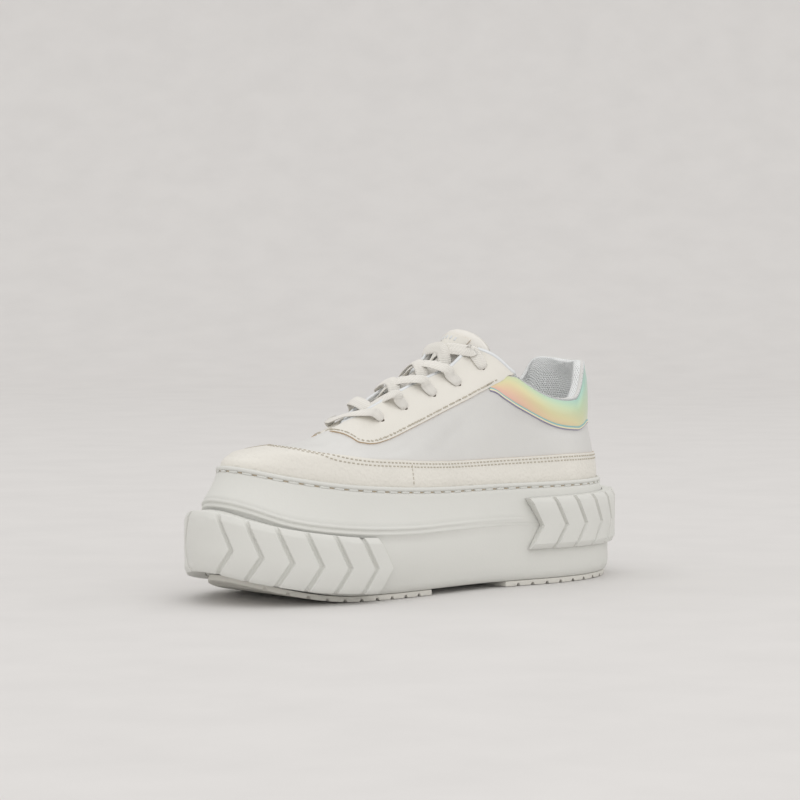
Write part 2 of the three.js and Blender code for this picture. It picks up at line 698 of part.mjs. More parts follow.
// Where a lace lies: on the leather at an eyelet, over the throat's edge, on
// the tongue's crown, and short of the far edge, where it dips under.
function laceRests(fromRow, toRow, side, layer) {
  const from = EYELET_ROWS[fromRow];
  const to = EYELET_ROWS[toRow];
  const lift = LACE_CLEAR + LACE_THICK / 2;
  const eyelet = upperFace(from.x, side * from.y);
  const edge = upperFace(from.x + (to.x - from.x) * 0.22, side * EDGE_REST);
  const middleX = (from.x + to.x) / 2;
  const crown = tongueFace(middleX, 0);
  const dipX = from.x + (to.x - from.x) * 0.72;
  const dip = tongueFace(dipX, -side * DIP_REST);
  return [
    { point: eyelet.point.addScaledVector(eyelet.normal, lift), normal: eyelet.normal },
    { point: edge.point.addScaledVector(edge.normal, lift + EDGE_LIFT), normal: edge.normal },
    {
      point: crown.point.addScaledVector(crown.normal, lift + CROWN_LIFT + layer * LACE_THICK * LAYER_LIFT),
      normal: crown.normal,
    },
    {
      point: dip.point.addScaledVector(dip.normal, lift + DIP_LIFT + (layer * LACE_THICK * LAYER_LIFT) / 2),
      normal: dip.normal,
    },
  ];
}

const wasm = await Module();
wasm.setup();

function toSolid(geometry) {
  const merged = BufferGeometryUtils.mergeVertices(geometry, 1e-5);
  return new wasm.Manifold(new wasm.Mesh({
    numProp: 3,
    vertProperties: new Float32Array(merged.attributes.position.array),
    triVerts: new Uint32Array(merged.index.array),
  }));
}

function fromSolid(solid) {
  const mesh = solid.getMesh();
  const geometry = new THREE.BufferGeometry();
  geometry.setAttribute('position', new THREE.BufferAttribute(mesh.vertProperties, 3));
  geometry.setIndex(new THREE.BufferAttribute(mesh.triVerts, 1));
  return geometry;
}

// Two laces that cross over the tongue, joined where they touch.
function laceCrossing(row) {
  const under = flatLace(laceRests(row + 1, row, 1, 0));
  const over = flatLace(laceRests(row + 1, row, -1, 1));
  return fromSolid(toSolid(under).add(toSolid(over)));
}

// The bar straight across the first eyelets, lying on the vamp.
function laceBar() {
  const first = EYELET_ROWS[0];
  const lift = LACE_CLEAR + LACE_THICK / 2;
  const rest = (y, extra) => {
    const face = upperFace(first.x + BAR_FORWARD * (1 - Math.abs(y) / first.y), y);
    return { point: face.point.addScaledVector(face.normal, lift + extra), normal: face.normal };
  };
  const near = rest(first.y, 0);
  const far = rest(-first.y, 0);
  const nearEdge = rest(EDGE_REST, 0.8);
  const farEdge = rest(-EDGE_REST, 0.8);
  const middle = {
    point: nearEdge.point.clone().lerp(farEdge.point, 0.5).addScaledVector(UP, 2.2),
    normal: UP.clone(),
  };
  return flatLace([near, nearEdge, middle, farEdge, far]);
}

// A named piece with its colour and finish.
function piece(name, geometry, colour, roughness) {
  const material = new THREE.MeshStandardMaterial({ color: colour, roughness, metalness: 0 });
  const mesh = new THREE.Mesh(geometry, material);
  mesh.name = name;
  return mesh;
}

const shoe = new THREE.Group();
shoe.add(piece('midsole', midsole(), COLOURS.sole, 0.6));
shoe.add(piece('toe_bumper', toeBumper(), COLOURS.sole, 0.6));
shoe.add(piece('heel_bumper', heelBumper(), COLOURS.sole, 0.6));
shoe.add(piece('outsole_heel', treadPad(HEEL_TREAD_BACK, ARCH.from), COLOURS.tread, 0.75));
shoe.add(piece('outsole_forefoot', treadPad(ARCH.to, LENGTH + TREAD_TIP), COLOURS.tread, 0.75));
shoe.add(piece('insole', insole(), COLOURS.lining, 0.85));
shoe.add(piece('upper', upper(), COLOURS.quarter, 0.5));
shoe.add(piece('tongue', tongue(), COLOURS.quarter, 0.55));
shoe.add(piece('lace_bar', laceBar(), COLOURS.lace, 0.9));
for (let row = 0; row < EYELET_ROWS.length - 1; row += 1) {
  shoe.add(piece(`lace_crossing_${row + 1}`, laceCrossing(row), COLOURS.lace, 0.9));
}

// The origin goes to the middle of the whole box, on the floor.
const box = new THREE.Box3().setFromObject(shoe);
const middle = box.getCenter(new THREE.Vector3());
for (const mesh of shoe.children) mesh.geometry.translate(-middle.x, -middle.y, 0);

export default shoe;
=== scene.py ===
"""A left platform sneaker: chunky two-part sole, leather upper, padded collar and flat laces."""
import math

import bmesh
import bpy
from mathutils import Matrix, Vector


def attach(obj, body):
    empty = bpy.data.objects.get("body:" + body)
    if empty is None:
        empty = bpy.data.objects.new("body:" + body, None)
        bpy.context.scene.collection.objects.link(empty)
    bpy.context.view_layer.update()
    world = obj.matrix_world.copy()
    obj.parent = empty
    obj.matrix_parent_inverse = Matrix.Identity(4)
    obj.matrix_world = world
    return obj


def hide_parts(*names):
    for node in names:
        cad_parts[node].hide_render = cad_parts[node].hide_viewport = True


bl_info = {
    "name": "Platform sneaker",
    "version": (1, 0, 0),
    "blender": (4, 5, 0),
    "location": "View3D > Sidebar > Sneaker",
    "description": "Builds a laced platform sneaker piece by piece",
    "category": "Add Mesh",
}

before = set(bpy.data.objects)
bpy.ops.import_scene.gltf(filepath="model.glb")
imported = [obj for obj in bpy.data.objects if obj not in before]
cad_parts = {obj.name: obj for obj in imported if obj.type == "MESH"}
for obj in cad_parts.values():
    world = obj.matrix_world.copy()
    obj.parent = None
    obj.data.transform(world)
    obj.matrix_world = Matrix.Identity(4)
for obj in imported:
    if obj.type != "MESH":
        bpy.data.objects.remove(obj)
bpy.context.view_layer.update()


def table(columns, rows):
    """A short table: the names of its columns, then its rows."""
    return [dict(zip(columns, row)) for row in rows]


# Shoe sizes in millimetres, measured from the back of the stitch line.
LENGTH = 268.0
TIP_SHIFT = -2.7
BEND_START = 0.55
THROAT_BEND = 0.4
HEEL_ROUND = 0.30
TOE_ROUND = 0.335
TOE_POWER = 1.92
TOE_SPRING = 10.5
SPRING_START = 0.79
SPRING_POWER = 1.9
TREAD = 3.0
GAP = 0.3
WALL = 2.0
COLLAR_PAD = 3.2
INSOLE = 4.0
MIDDLE = Vector((139.0, -2.528, 0.0))

WIDTHS = table(("at", "outer", "inner"), (
    (0.00, 46.3, 46.6),
    (0.13, 46.3, 46.6),
    (0.42, 39.7, 33.9),
    (0.67, 45.0, 44.6),
    (0.86, 46.0, 53.0),
    (1.00, 45.0, 49.0),
))

WALL_SECTIONS = table(
    ("at", "top", "ridge_out", "ridge", "belly_out", "foot_out", "tread_out", "floor"), (
        (0.00, 56.5, 4.2, 36.0, 4.6, 4.8, 2.6, 47.5),
        (0.20, 57.3, 4.0, 36.5, 4.4, 4.6, 2.6, 47.0),
        (0.40, 58.0, 3.2, 38.2, 3.4, 3.0, 0.5, 46.0),
        (0.55, 58.6, 4.2, 38.4, 4.2, 2.6, -0.6, 45.0),
        (0.70, 60.6, 6.2, 38.8, 5.8, 2.6, -1.0, 45.0),
        (0.83, 63.8, 7.2, 41.0, 7.0, 4.0, 0.8, 47.5),
        (0.93, 68.5, 7.8, 46.0, 7.8, 6.0, 3.4, 51.0),
        (1.00, 73.5, 8.2, 55.5, 8.6, 8.0, 6.0, 55.0),
    ))

UPPER_SECTIONS = table((
    "at", "edge_x", "edge_y", "edge", "band_in", "band", "side_in", "side", "rib_in", "rib",
    "turn_in", "turn", "inner_drop",
), (
    (0.000, 11.0, 0.0, 123.4, 4.2, 71.0, 6.4, 84.0, 7.8, 101.0, 9.4, 115.0, 0.0),
    (0.055, 13.8, 11.5, 123.2, 4.2, 71.0, 6.4, 84.0, 7.8, 101.0, 9.4, 115.0, -1.0),
    (0.105, 22.0, 20.8, 121.0, 4.4, 71.2, 6.6, 84.0, 8.0, 99.0, 9.4, 112.0, -2.5),
    (0.138, 28.6, 25.0, 109.2, 4.7, 71.3, 6.8, 82.0, 8.2, 94.0, 9.4, 104.0, -4.0),
    (0.170, 36.4, 28.0, 103.0, 5.0, 71.5, 7.2, 81.0, 8.8, 90.0, 10.0, 97.0, -3.0),
    (0.245, 60.0, 30.0, 105.2, 5.5, 71.8, 8.0, 83.0, 9.6, 92.0, 10.8, 99.0, -1.0),
    (0.335, 87.0, 30.0, 118.2, 5.6, 71.8, 8.2, 88.0, 9.6, 103.0, 10.6, 111.0, 0.0),
    (0.365, 97.0, 24.4, 128.0, 5.6, 71.8, 8.0, 90.0, 9.8, 107.0, 12.4, 118.0, 0.0),
    (0.395, 106.0, 17.2, 131.6, 5.6, 71.8, 7.8, 91.0, 10.0, 109.0, 15.0, 120.0, 0.0),
    (0.460, 121.5, 14.2, 121.8, 5.5, 71.6, 7.8, 88.0, 11.0, 104.0, 17.6, 113.2, 1.5),
    (0.530, 140.5, 13.0, 115.4, 5.5, 71.6, 8.4, 85.0, 12.4, 98.0, 19.0, 107.1, 3.0),
    (0.600, 160.0, 12.4, 108.4, 5.8, 72.6, 9.6, 82.0, 14.4, 91.2, 21.6, 100.0, 4.5),
    (0.665, 174.5, 11.2, 102.2, 6.2, 74.0, 10.6, 79.6, 16.2, 85.8, 23.2, 93.6, 5.5),
    (0.740, 183.4, 8.2, 97.0, 6.6, 75.2, 11.5, 78.8, 18.6, 83.0, 27.0, 88.6, 5.5),
    (0.810, 186.4, 4.8, 95.0, 6.8, 76.6, 11.5, 79.0, 18.6, 81.2, 31.5, 85.8, 4.5),
    (0.900, 187.6, 2.2, 93.8, 7.4, 77.6, 13.6, 80.8, 24.0, 82.4, 43.0, 84.6, 2.4),
    (1.000, 188.0, 0.0, 93.4, 8.6, 77.2, 17.0, 80.6, 28.0, 82.6, 52.0, 84.2, 0.0),
))
UPPER_IN = 2.5
UPPER_FOOT_IN = 3.3

# Rises on the upper: at the sole's top edge, at its rib, and where a section turns inwards.
SOLE_RISE = 0.12
RIB_RISE = 0.63
TURN_IN_RISES = (0.05, 0.35)
SOLE_OVERLAP = 0.5
RISE_STEP = 0.01
TURN_STEP = 0.003


def value_at(rows, column, at, key="at"):
    """A smooth value from a table: cubic pieces through the rows of a column."""
    last = len(rows) - 1
    row = 0
    while row < last - 1 and at > rows[row + 1][key]:
        row += 1

    def slope(k):
        a, b = rows[max(k - 1, 0)], rows[min(k + 1, last)]
        return (b[column] - a[column]) / (b[key] - a[key])

    a, b = rows[row], rows[row + 1]
    span = b[key] - a[key]
    s = min(max((at - a[key]) / span, 0.0), 1.0)
    rise = s * s * (3 - 2 * s)
    bend = span * s * (1 - s) * ((1 - s) * slope(row) - s * slope(row + 1))
    return a[column] * (1 - rise) + b[column] * rise + bend


def smooth(x, low, high):
    """0 below low, 1 above high, and a soft step between."""
    t = min(max((x - low) / (high - low), 0.0), 1.0)
    return t * t * (3 - 2 * t)


def end_round(at):
    """Share of the full width that is left near the rounded heel and toe."""
    heel = max(1 - at / HEEL_ROUND, 0.0)
    toe = max((at - 1 + TOE_ROUND) / TOE_ROUND, 0.0)
    return math.sqrt(max(1 - heel ** 2, 0.0)) * max(1 - toe ** TOE_POWER, 0.0) ** (1 / TOE_POWER)


def centre_y(at):
    """The middle line of a left shoe, which bends inwards towards the tip."""
    return TIP_SHIFT * max((at - BEND_START) / (1 - BEND_START), 0.0) ** 2


def stitch_point(at, side):
    """A place on the stitch line, seen from above."""
    half = value_at(WIDTHS, "outer" if side > 0 else "inner", at) * end_round(at)
    return Vector((LENGTH * at, centre_y(at) + side * half))


def side_stations(side, count=400, dense=8):
    """Even stations down one side of the stitch line, heel to tip."""
    total = count * dense
    walk = []
    path = 0.0
    before = stitch_point(0.0, side)
    for k in range(total + 1):
        at = (1 - math.cos(math.pi * k / total)) / 2
        here = stitch_point(at, side)
        path += (here - before).length
        before = here
        walk.append((path, at, here))
    stations = []
    k = 0
    for n in range(count + 1):
        goal = path * n / count
        while k < total - 1 and walk[k + 1][0] < goal:
            k += 1
        a, b = walk[k], walk[k + 1]
        s = (goal - a[0]) / (b[0] - a[0]) if b[0] > a[0] else 0.0
        way = walk[min(k + 3, total)][2] - walk[max(k - 2, 0)][2]
        normal = Vector((-way.y, way.x)).normalized() * side
        if n == 0:
            normal = Vector((-1.0, 0.0))
        if n == count:
            normal = Vector((1.0, 0.0))
        stations.append((a[1] + s * (b[1] - a[1]), a[2].lerp(b[2], s), normal))
    return stations, path


SIDES = {side: side_stations(side) for side in (1, -1)}


def station(side, share):
    """Place on the stitch line: side, share of that side's path, at, place and outward way."""
    stations, _ = SIDES[side]
    k = min(max(share, 0.0), 1.0) * (len(stations) - 1)
    low = min(int(k), len(stations) - 2)
    s = k - low
    a, b = stations[low], stations[low + 1]
    return {
        "side": side,
        "share": share,
        "at": a[0] + s * (b[0] - a[0]),
        "place": a[1].lerp(b[1], s),
        "out": a[2].lerp(b[2], s).normalized(),
    }


def round_station(turn):
    """A station by its turn round the shoe: 0 heel, 0.5 tip, 1 heel again by the inner side."""
    turn %= 1.0
    return station(1, 2 * turn) if turn <= 0.5 else station(-1, 2 - 2 * turn)


def outwards(spot, out, z):
    """A point so far out of the stitch line at a height."""
    return Vector((*(spot["place"] + spot["out"] * out), z))


def ground(x):
    """How high the toe spring lifts the underside."""
    return TOE_SPRING * max((x / LENGTH - SPRING_START) / (1 - SPRING_START), 0.0) ** SPRING_POWER


def upper_knots(spot):
    """Knots of one section of the upper, from its foot to its collar or throat edge."""
    row = {c: value_at(UPPER_SECTIONS, c, spot["share"]) for c in UPPER_SECTIONS[0] if c != "at"}
    edge = Vector((row["edge_x"], centre_y(spot["at"]) * THROAT_BEND + spot["side"] * row["edge_y"]))
    inward = edge - spot["place"]
    top = value_at(WALL_SECTIONS, "top", spot["at"])
    floor = value_at(WALL_SECTIONS, "floor", spot["at"])
    knots = table(("rise", "in", "z"), (
        (0.00, UPPER_FOOT_IN, floor + GAP),
        (SOLE_RISE, UPPER_IN, top - SOLE_OVERLAP),
        (0.30, row["band_in"], row["band"]),
        (0.47, row["side_in"], row["side"]),
        (RIB_RISE, row["rib_in"], row["rib"]),
        (0.80, row["turn_in"], row["turn"]),
        (1.00, inward.length, row["edge"]),
    ))
    drop = row["inner_drop"] if spot["side"] < 0 else 0.0
    return knots, inward.normalized(), drop


KNOTS = {}


def upper_point(turn, rise):
    """The upper's outer face before its creases."""
    key = round(turn % 1.0, 5)
    if key not in KNOTS:
        spot = round_station(turn)
        KNOTS[key] = (spot, *upper_knots(spot))
    spot, knots, inward, drop = KNOTS[key]
    way = (-spot["out"]).lerp(inward, smooth(rise, *TURN_IN_RISES)).normalized()
    place = spot["place"] + way * value_at(knots, "in", rise, "rise")
    z = value_at(knots, "z", rise, "rise") - drop * smooth(rise, SOLE_RISE, RIB_RISE)
    return Vector((*place, z))


# Edges of the parts sewn onto the upper, as a share of the way up it.
MUDGUARD_TOP = table(("at", "rise"), (
    (0.00, 0.290), (0.10, 0.296), (0.24, 0.302), (0.42, 0.300), (0.55, 0.307), (0.63, 0.309),
    (0.68, 0.312), (0.71, 0.317), (0.74, 0.328), (0.77, 0.352), (0.80, 0.398), (0.83, 0.455),
    (0.86, 0.502), (0.89, 0.545), (0.92, 0.588), (0.95, 0.625), (1.00, 0.660),
))
EYESTAY_LOW = table(("at", "rise"), (
    (0.335, 1.00), (0.345, 0.910), (0.365, 0.750), (0.395, 0.668), (0.44, 0.648), (0.49, 0.639),
    (0.55, 0.633), (0.61, 0.632), (0.65, 0.628), (0.68, 0.620), (0.70, 0.612), (0.72, 0.620),
    (0.735, 0.645), (0.75, 0.688), (0.765, 0.742), (0.78, 0.792), (0.80, 0.838), (0.82, 0.864),
    (0.86, 0.889), (0.93, 0.912), (1.00, 0.928),
))
PANEL_LOW = table(("at", "rise"), (
    (0.00, 0.530), (0.08, 0.515), (0.18, 0.552), (0.23, 0.562), (0.28, 0.576), (0.33, 0.592),
    (0.37, 0.612), (0.402, 0.650),
))
PANEL_TOP = table(("at", "rise"), (
    (0.000, 0.970), (0.20, 0.965), (0.30, 0.965), (0.332, 0.960), (0.345, 0.890), (0.365, 0.765),
    (0.395, 0.670), (0.402, 0.665),
))
EYESTAY_BACK = 0.337
PANEL_FRONT = 0.402
PANEL_LONG = 250.0
PANEL_TALL = 26.0
STRIPE_WIDE = 2.3
SEAM_SHARE = 0.632

# Folds of the leather: where, how deep outwards, how wide along and tall up the face, and lean.
FOLDS = table(("share", "rise", "depth", "wide", "tall", "lean"), (
    (0.760, 0.66, -0.55, 0.016, 0.16, 0.10),
    (0.795, 0.64, 0.35, 0.018, 0.16, 0.10),
    (0.835, 0.66, -0.40, 0.015, 0.15, 0.14),
    (0.640, 0.48, -0.45, 0.030, 0.09, 0.50),
    (0.560, 0.50, 0.40, 0.050, 0.10, 0.40),
    (0.480, 0.52, -0.50, 0.030, 0.12, 0.55),
    (0.400, 0.46, 0.45, 0.050, 0.12, 0.30),
    (0.290, 0.44, -0.35, 0.030, 0.10, 0.20),
    (0.120, 0.42, -0.40, 0.030, 0.08, 0.00),
))

# The collar's padded swell and the tuck under it, and the shares between which they fade out.
COLLAR_ROLLS = table(("rise", "depth", "tall", "full", "gone"), (
    (0.76, 1.1, 0.13, 0.28, 0.37),
    (0.52, -0.7, 0.05, 0.30, 0.42),
))
PAD_END = 0.36
PAD_FADE = 0.08
PAD_LOW = 0.45
PAD_FULL = 0.85
PAD_THINS = 0.45

# Turns in thousandths and rises in hundredths that are tried for a place on the upper half.
TURNS_TRIED = range(120, 441, 4)
RISES_TRIED = range(60, 101, 2)

# The sole's wall.
LIP = 1.9
STITCH_DROP = 2.8
STITCH_DEPTH = 0.8
GROOVE_HALF = 1.2
FOOT_HEIGHT = 4.5
FOOT_EDGES = (0.3, 2.0)
BELLY_STEPS = 6
CUP_ROUND = (1.5, 1.2)

# The ridge line: its step and how deep its edges are cut, both shallow at the heel.
RIDGE_STEP = 1.0
RIDGE_STEP_HEEL = 0.3
RIDGE_SUNK_HEEL = 0.06
RIDGE_SUNK_MORE = 0.74
RIDGE_FADE = (0.35, 0.75)
RIDGE_UNDER = 4.2

# Points of the ridge, of the shoulder over it, of the stitch groove and of the lip, upwards.
RIDGE_SHAPE = table(("out", "sunk", "up"), (
    (-0.20, 0, -3.5), (0.00, 0, -2.9), (-0.30, 0, -2.3), (0.00, 1, -1.9), (0.00, 1, -1.2),
    (-0.15, 0, -0.7), (0.00, 0, 0.0), (-0.25, 0, 0.7), (-0.25, 1, 1.2), (-0.20, 1, 1.7),
))
SHOULDER_SHARES = (0.12, 0.3, 0.5, 0.7, 0.9)
SHOULDER_POWER = 1.2
SHOULDER_OUT = 0.3
GROOVE_SHAPE = table(("out", "up"), (
    (0.0, -0.75), (-STITCH_DEPTH, -0.35), (-STITCH_DEPTH, 0.35), (0.1, 0.8), (0.35, 1.4),
))
LIP_SHAPE = table(("out", "up"), ((0.25, -0.6), (-0.4, -0.05), (-1.2, 0.0), (-LIP, -0.4)))

# Laces and eyelets.
EYELETS = table(("x", "y", "share", "outer", "inner"), (
    (178.2, 21.2, 0.668, 0.835, 0.845),
    (160.6, 21.6, 0.601, 0.822, 0.785),
    (141.2, 22.2, 0.530, 0.808, 0.710),
    (122.8, 22.6, 0.463, 0.798, 0.655),
    (105.4, 23.6, 0.398, 0.832, 0.662),
))
LACE_CLEAR = 0.15
EDGE_REST = 14.0
CROWN_LIFTS = (1.6, 1.9, 2.2, -0.3)
EDGE_LIFTS = (4.6, 3.9, 3.4, 2.0)
FACING_LIFTS = (1.1, 0.6, 0.3, 0.3)
INNER_FRONT = 0.12
DIP_REST = 6.5
LAYER_LIFT = 0.75

TONGUE_SECTIONS = table(("along", "x", "z", "half", "fall", "round"), (
    (0.00, 198.0, 80.0, 15.0, 0.40, 4.0),
    (0.14, 185.0, 86.6, 17.0, 0.70, 4.0),
    (0.32, 166.0, 101.2, 18.5, 1.08, 4.0),
    (0.50, 146.0, 115.0, 19.0, 1.24, 4.0),
    (0.68, 126.4, 124.0, 19.0, 1.28, 4.0),
    (0.80, 117.2, 127.6, 17.6, 1.08, 5.0),
    (0.90, 111.6, 135.8, 18.0, 0.97, 5.0),
    (1.00, 103.0, 145.0, 26.0, 0.80, 10.0),
))
TONGUE_CORNER = 0.05
TONGUE_THICK = 5.0

# Pearl film of the collar panel, from the heel to its front.
PEARL = ((0.42, 0.66, 0.56), (0.56, 0.70, 0.46), (0.74, 0.69, 0.40), (0.78, 0.58, 0.38),
         (0.77, 0.47, 0.38), (0.76, 0.46, 0.42))
PEARL_STOPS = (0.04, 0.24, 0.46, 0.62, 0.78, 0.97)
STRIPE_TINTS = ((0.30, 0.27, 0.42), (0.30, 0.27, 0.42), (0.82, 0.78, 0.52), (0.82, 0.78, 0.52),
                (0.26, 0.50, 0.52), (0.26, 0.50, 0.52))
STRIPE_STOPS = (0.0, 0.22, 0.30, 0.58, 0.66, 1.0)


def creases(turn, rise):
    """Soft troughs and ridges of the leather, outwards in millimetres."""
    share = 2 * turn if turn <= 0.5 else 2 - 2 * turn
    total = 0.0
    for roll in COLLAR_ROLLS:
        swell = roll["depth"] * math.exp(-((rise - roll["rise"]) / roll["tall"]) ** 2)
        total += swell * (1 - smooth(share, roll["full"], roll["gone"]))
    for fold in FOLDS:
        along = (share - fold["share"]) + fold["lean"] * (rise - fold["rise"])
        across = (rise - fold["rise"]) / fold["tall"]
        total += fold["depth"] * math.exp(-(along / fold["wide"]) ** 2 - across ** 2)
    return total


def upper_face(turn, rise, lift=0.0):
    """A point lifted off the upper's creased face, and the way out of that face."""
    low, high = max(rise - RISE_STEP, 0.0), min(rise + RISE_STEP, 1.0)
    up = upper_point(turn, high) - upper_point(turn, low)
    along = upper_point(turn + TURN_STEP, rise) - upper_point(turn - TURN_STEP, rise)
    normal = up.cross(along).normalized()
    point = upper_point(turn, rise)
    return point + normal * (creases(turn, rise) + lift), normal


def upper_at(x, y):
    """The upper's face over a place in plan, on its upper half."""
    best = None
    for n in TURNS_TRIED:
        turn = n / 1000 if y > 0 else 1 - n / 1000
        for m in RISES_TRIED:
            point = upper_point(turn, m / 100)
            miss = math.hypot(point.x - x, point.y - y)
            if best is None or miss < best[0]:
                best = (miss, turn, m / 100)
    _, turn, rise = best
    return upper_face(turn, rise)


def wall_thickness(share, rise):
    """Thickness of the upper, whose collar is padded inside."""
    collar = smooth(PAD_END - share, 0.0, PAD_FADE)
    thinned = 1 - PAD_THINS * smooth(rise, PAD_FULL, 1.0)
    return WALL + COLLAR_PAD * collar * smooth(rise, PAD_LOW, PAD_FULL) * thinned


def share_of(turn):
    """The share of one side's path that a turn stands for."""
    turn %= 1.0
    return 2 * turn if turn <= 0.5 else 2 - 2 * turn


def by_share(rows, turn):
    """The rise that a table gives at a turn."""
    return value_at(rows, "rise", share_of(turn))


def rise_for(turn, rise, millimetres):
    """The rise that lies so many millimetres further up the upper's face."""
    step = (upper_point(turn, rise + RISE_STEP) - upper_point(turn, rise)).length
    return rise + RISE_STEP * millimetres / step


AXIS_HEIGHT = 0.055
AXIS_UPWARDS = 0.6
MERGE = 2e-6


def placed(point):
    """A place in the shoe's millimetres, in metres in the shared frame."""
    return (point - MIDDLE) / 1000


def stand(name, mesh, *materials):
    """An object made from a mesh, with its materials."""
    data = bpy.data.meshes.new(name)
    mesh.to_mesh(data)
    mesh.free()
    for material in materials:
        data.materials.append(paint(material))
    data.shade_smooth()
    thing = bpy.data.objects.new(name, data)
    bpy.context.scene.collection.objects.link(thing)
    return thing


def finish(name, mesh, slot, *materials):
    """A piece of the shoe with its materials, fastened to the root body; its slot argument is not
    used.
    """
    piece = stand(name, mesh, *materials)
    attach(piece, "root")
    return piece


def spread(columns, rows, place, size, closed=False):
    """A grid laid on a surface given by two shares, with its pattern map in metres."""
    mesh = bmesh.new()
    bmesh.ops.create_grid(mesh, x_segments=columns, y_segments=rows, size=0.5)
    layer = mesh.loops.layers.uv.new("Pattern")
    for face in mesh.faces:
        for loop in face.loops:
            u, v = loop.vert.co.x + 0.5, loop.vert.co.y + 0.5
            loop[layer].uv = (u * size[0] / 1000, v * size[1] / 1000)
    for vert in mesh.verts:
        vert.co = placed(place(vert.co.x + 0.5, vert.co.y + 0.5))
    bmesh.ops.remove_doubles(mesh, verts=mesh.verts[:], dist=MERGE)
    bmesh.ops.dissolve_degenerate(mesh, dist=1e-6, edges=mesh.edges[:])
    if closed:
        bmesh.ops.recalc_face_normals(mesh, faces=mesh.faces[:])
    return mesh


def face_away(mesh, way):
    """Turns an open skin so that its faces look along way(face)."""
    total = sum(f.normal.dot(way(f)) * f.calc_area() for f in mesh.faces)
    if total < 0:
        bmesh.ops.reverse_faces(mesh, faces=mesh.faces[:])


def from_axis(face):
    """The rough way out of the shoe at a face: sideways, and upwards above the sole."""
    centre = face.calc_center_median()
    return Vector((0.0, centre.y, max(centre.z - AXIS_HEIGHT, 0.0) * AXIS_UPWARDS))


def round_edges(piece, width, segments, degrees):
    """Rounds the edges that are sharper than an angle; width in millimetres."""
    edge = piece.modifiers.new("Edge", "BEVEL")
    edge.width = width / 1000
    edge.segments = segments
    edge.limit_method = "ANGLE"
    edge.angle_limit = math.radians(degrees)


def thicken(piece, thickness, bevel=0.35, rim=0):
    """Gives an open skin its thickness, in millimetres, and soft edges."""
    wall = piece.modifiers.new("Thickness", "SOLIDIFY")
    wall.thickness = thickness / 1000
    wall.offset = -1
    wall.material_offset_rim = rim
    round_edges(piece, bevel, segments=2, degrees=50)


class Recipe:
    """A material in the making: a pattern on the shoe's own place or on the piece's pattern map."""

    def __init__(self, name, **settings):
        self.paint = bpy.data.materials.new(name)
        self.paint.use_nodes = True
        self.shader = self.paint.node_tree.nodes["Principled BSDF"]
        for setting, value in settings.items():
            self.shader.inputs[SHADER_INPUTS[setting]].default_value = value

    def node(self, kind, **settings):
        node = self.paint.node_tree.nodes.new("ShaderNode" + kind)
        for setting, value in settings.items():
            setattr(node, setting, value)
        return node

    def feed(self, socket, value):
        """Gives a socket another node's result, or a constant."""
        if isinstance(value, bpy.types.NodeSocket):
            self.paint.node_tree.links.new(value, socket)
        else:
            socket.default_value = value

    def where(self, source, scale=(1, 1, 1)):
        """Where a pattern is read: the shoe's place, or the piece's own pattern map."""
        if source == "pattern":
            place = self.node("UVMap", uv_map="Pattern").outputs["UV"]
        else:
            place = self.node("TexCoord").outputs["Object"]
        mapping = self.node("Mapping")
        self.feed(mapping.inputs["Scale"], scale)
        self.feed(mapping.inputs["Vector"], place)
        return mapping.outputs["Vector"]

    def parts(self, place):
        """The first and second coordinate of a place."""
        parts = self.node("SeparateXYZ")
        self.feed(parts.inputs[0], place)
        return parts.outputs["X"], parts.outputs["Y"]

    def work_out(self, operation, *values, kind="Math", result=0):
        """One step of reckoning with numbers, or with places where the kind is VectorMath."""
        node = self.node(kind, operation=operation)
        for socket, value in zip(node.inputs, values):
            self.feed(socket, value)
        return node.outputs[result]

    def cloud(self, place, scale, detail=3.0, roughness=0.5):
        noise = self.node("TexNoise")
        self.feed(noise.inputs["Scale"], scale)
        self.feed(noise.inputs["Detail"], detail)
        self.feed(noise.inputs["Roughness"], roughness)
        self.feed(noise.inputs["Vector"], place)
        return noise.outputs[0]

    def cells(self, place, scale):
        grain = self.node("TexVoronoi", feature="SMOOTH_F1")
        self.feed(grain.inputs["Scale"], scale)
        self.feed(grain.inputs["Vector"], place)
        return grain.outputs["Distance"]

    def tint(self, factor, colours, stops):
        """Colours the surface by a factor, between stops."""
        ramp = self.node("ValToRGB")
        marks = ramp.color_ramp.elements
        while len(marks) < len(colours):
            marks.new(1.0)
        for mark, stop, colour in zip(marks, stops, colours):
            mark.position = stop
            mark.color = (*colour, 1.0)
        self.feed(ramp.inputs["Fac"], factor)
        self.feed(self.shader.inputs["Base Color"], ramp.outputs["Color"])

    def shade(self, factor, colour, dark, stops):
        """Colours the surface between a darkened colour and the colour itself."""
        self.tint(factor, (tuple(c * dark for c in colour), colour), stops)

    def relief(self, height, depth, strength=1.0, under=None):
        """Raises the surface by a height, over another relief; depth in millimetres."""
        bump = self.node("Bump")
        self.feed(bump.inputs["Distance"], depth / 1000)
        self.feed(bump.inputs["Strength"], strength)
        self.feed(bump.inputs["Height"], height)
        if under is not None:
            self.feed(bump.inputs["Normal"], under)
        self.feed(self.shader.inputs["Normal"], bump.outputs["Normal"])
        return bump.outputs["Normal"]


SHADER_INPUTS = {
    "roughness": "Roughness",
    "metallic": "Metallic",
    "specular": "Specular IOR Level",
    "sheen": "Sheen Weight",
    "coat": "Coat Weight",
    "coat_roughness": "Coat Roughness",
}


